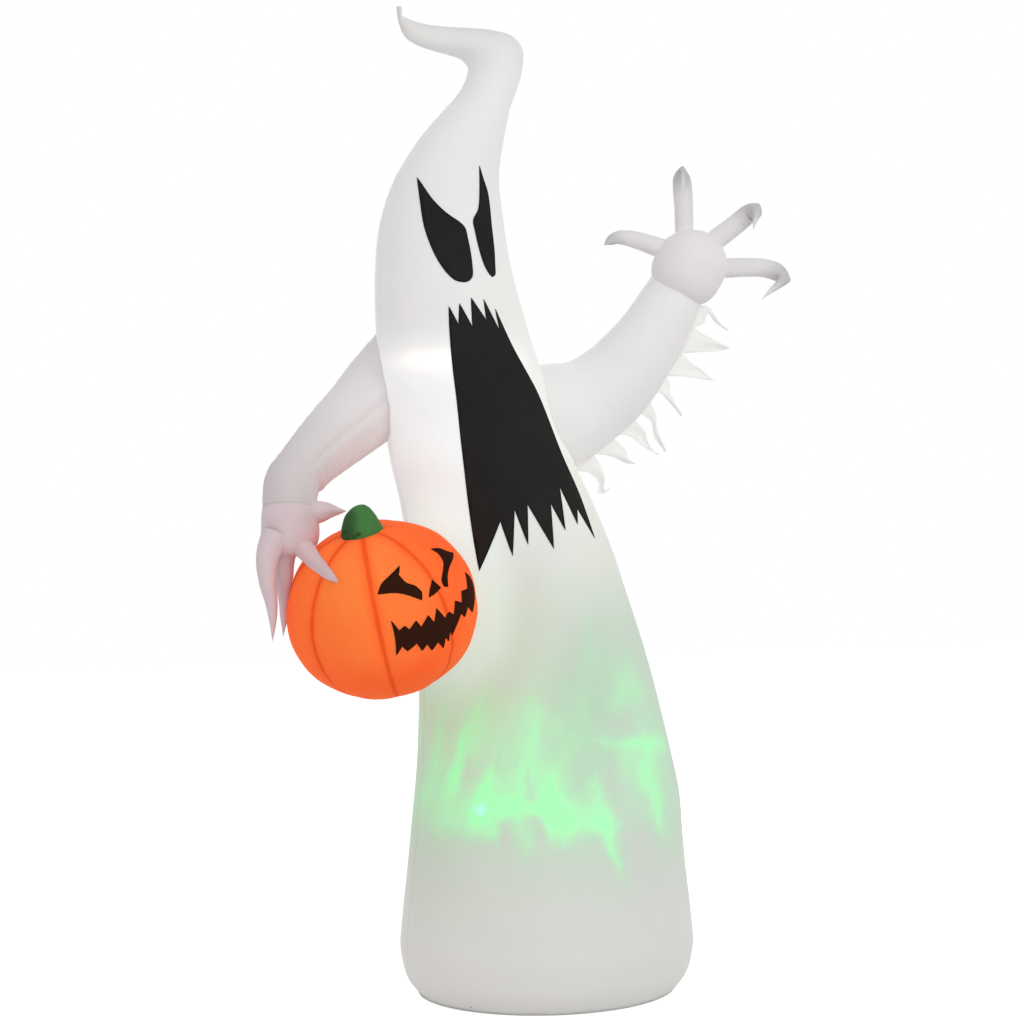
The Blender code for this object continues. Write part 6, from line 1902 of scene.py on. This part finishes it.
# %% Lamp tape
TAPE_BOTTOM_SHARE = 0.30
TAPE_TOP_SHARE = 0.84
TAPE_HALF_WIDTH = 0.011
TAPE_THICKNESS = 0.0014
TAPE_DEPTH = 0.0031
TAPE_ROWS = 160
points = []
for index in range(TAPE_ROWS + 1):
    height = height_of(TAPE_BOTTOM_SHARE + (TAPE_TOP_SHARE - TAPE_BOTTOM_SHARE) * index / TAPE_ROWS)
    across, half_depth = body_at(height)[::2]
    points.append(Vector((across, half_depth - TAPE_DEPTH, height)))
strip("lamp_tape_webbing", points, Vector((1, 0, 0)), TAPE_HALF_WIDTH, TAPE_THICKNESS, "light_tape")

# %% Zip
ZIP_BOTTOM = 0.330
ZIP_LENGTH = 0.300
ZIP_TAPE_HALF = 0.015
TOOTH_PITCH = 0.003
TOOTH_HALF = 0.0029
TOOTH_TOP = 0.0044
TOOTH_FOOT = 0.0020
TOOTH_BEVEL = 0.0002
TEETH_START = 0.006
# One half of the tape, from its rolled edge by the teeth out and back: reach and height
TAPE_PROFILE = (
    (0.0004, 0.0018), (0.0016, 0.0028), (0.0030, 0.0030), (0.0052, 0.0022), (0.0120, 0.0020),
    (0.0150, 0.0014), (0.0150, 0.0004), (0.0060, 0.0006), (0.0004, 0.0008))
ZIP_TAPE_ROWS = 60
ZIP_TAPE_WAVE = 0.0003


def zip_frame():
    low, high = [skin_point(height, math.radians(90))[0]
                 for height in (ZIP_BOTTOM, ZIP_BOTTOM + ZIP_LENGTH)]
    up = (high - low).normalized()
    out = up.cross(Vector((1, 0, 0))).normalized()
    return Matrix.Translation(low) @ Matrix((out.cross(up), out, up)).transposed().to_4x4()


ZIP_FRAME = zip_frame()


def zip_tape(bm):
    """Add both halves of the tape, each with a rolled edge along the teeth."""
    count = len(TAPE_PROFILE)
    for side in (-1, 1):

        def place(across, along):
            reach, height = TAPE_PROFILE[round(across * count) % count]
            wave = ZIP_TAPE_WAVE * wave_at(along * 14, side, reach * 90)
            return ZIP_FRAME @ Vector((side * reach, height + wave, along * ZIP_LENGTH))

        def sewing(across, along):
            return ZIP_TAPE_HALF - TAPE_PROFILE[round(across * count) % count][0], along * ZIP_LENGTH

        made = lay(bm, count, ZIP_TAPE_ROWS, place, sewing)
        bmesh.ops.remove_doubles(bm, verts=made, dist=WELD)


def zip_teeth(bm):
    """Add teeth that reach in from both sides in turn."""
    count = int((ZIP_LENGTH - 2 * TEETH_START) / TOOTH_PITCH * 2)
    for index in range(count):
        side = -1 if index % 2 else 1
        up = TEETH_START + index * TOOTH_PITCH / 2
        middle = Matrix.Translation((side * TOOTH_HALF * 0.36, (TOOTH_TOP + TOOTH_FOOT) / 2, up))
        size = Matrix.Diagonal((TOOTH_HALF * 1.28, TOOTH_TOP - TOOTH_FOOT, TOOTH_PITCH * 0.40, 1))
        made = bmesh.ops.create_cube(bm, size=1, matrix=ZIP_FRAME @ middle @ size)["verts"]
        edges = list(dict.fromkeys(edge for vert in made for edge in vert.link_edges))
        bmesh.ops.bevel(bm, geom=edges, offset=TOOTH_BEVEL, segments=1, affect="EDGES", profile=0.5,
                        material=-1)


bm = bmesh.new()
zip_tape(bm)
close_ends(bm)
face_outwards(bm)
finished("zip_tape_webbing", bm, WEBBING, ["zip_tape"])
bm = bmesh.new()
bm.loops.layers.uv.verify()
zip_teeth(bm)
finished("zip_teeth", bm, FAN_PLASTIC, [])

# %% Loops
LOOP_PROUD = 0.030
LOOP_HALF = 0.017
LOOP_WIDTH = 0.025
WEBBING_THICKNESS = 0.0014
LOOP_FOOT_STEP = 0.004
# Each loop's height and bearing
LOOPS = {"stake_loop_left": (0.036, math.radians(40)), "stake_loop_right": (0.036, math.radians(140)),
         "tether_loop_left": (1.450, math.radians(52)), "tether_loop_right": (1.450, math.radians(128))}
for name, (height, bearing) in LOOPS.items():
    place, out = skin_point(height, bearing)
    side = Vector((out.y, -out.x, 0))
    bend = LOOP_HALF - WEBBING_THICKNESS / 2
    foot = [step * LOOP_FOOT_STEP for step in (-1, 0, 1, 2)]
    path = [(bend, depth) for depth in foot]
    path += [(bend * math.cos(turn), LOOP_PROUD - LOOP_HALF + bend * math.sin(turn))
             for turn in (math.pi * step / 16 for step in range(17))]
    path += [(-bend, depth) for depth in reversed(foot)]
    points = [place + side * across + out * depth for across, depth in path]
    strip(name + "_webbing", points, Vector((0, 0, 1)), LOOP_WIDTH / 2, WEBBING_THICKNESS, name)

# %% [markdown]
# ## Ballast bags
#
# Two sand bags lie on the base inside. A bag is two rectangles of cloth sewn at the rim, so it is
# fullest in the middle, pulls in between its corners and lies flat underneath.

# %% Ballast bags
BAG_HALF_LENGTH = 0.102
BAG_HALF_WIDTH = 0.068
BAG_TOP = 0.046
BAG_REST = 0.0036
BAG_RIM = 0.012
BAG_SLACK = 0.014
BAG_LUMP = 0.0022
BAG_CREASE = 0.0018
BAG_PULL = 0.09
BAG_COLUMNS = 56
BAG_ROWS = 40
BAG_WELD = 0.0003
BAG_PLACE_SHARES = (0.48, -0.36)


def bag_sewing(across, along):
    return min(across, 1 - across, along, 1 - along) * 0.15, along * 0.15


def bag(side, sign):
    """A sand bag on one side of the base: its upper cloth and its lower cloth."""
    centre = Vector((sign * BAG_PLACE_SHARES[0] * BODY_WIDTH / 2,
                     BAG_PLACE_SHARES[1] * BODY_DEPTH / 2, BAG_REST))
    bm = bmesh.new()
    for top in (True, False):

        def place(across, along):
            x, y = (across * 2 - 1) * (1 if top else -1), along * 2 - 1
            corner = (x * y) ** 2
            full = max(0.0, (1 - x ** 4) * (1 - y ** 4)) ** 0.55
            pull = 1 - BAG_PULL * (1 - corner) * (x ** 6 + y ** 6)
            lumpy = wave_at(x * 2.3, y * 2.3, sign * 3.0 + top) * BAG_LUMP * full
            crease = wave_at(x * 5, y * 5, 7.0) * BAG_CREASE * (1 - full)
            rise = full * (BAG_TOP - BAG_SLACK) if top else -full * BAG_RIM
            height = BAG_RIM + rise + (lumpy if top else 0) + crease
            return centre + Vector((
                x * BAG_HALF_LENGTH * pull, y * BAG_HALF_WIDTH * pull, max(height, 0.0)))

        lay(bm, BAG_COLUMNS, BAG_ROWS, place, bag_sewing)
    weld(bm, BAG_WELD)
    face_outwards(bm)
    made = finished("ballast_bag_%s_cloth" % side, bm, BAG_CLOTH, ["ballast_bag_" + side])


bag("left", 1)
bag("right", -1)
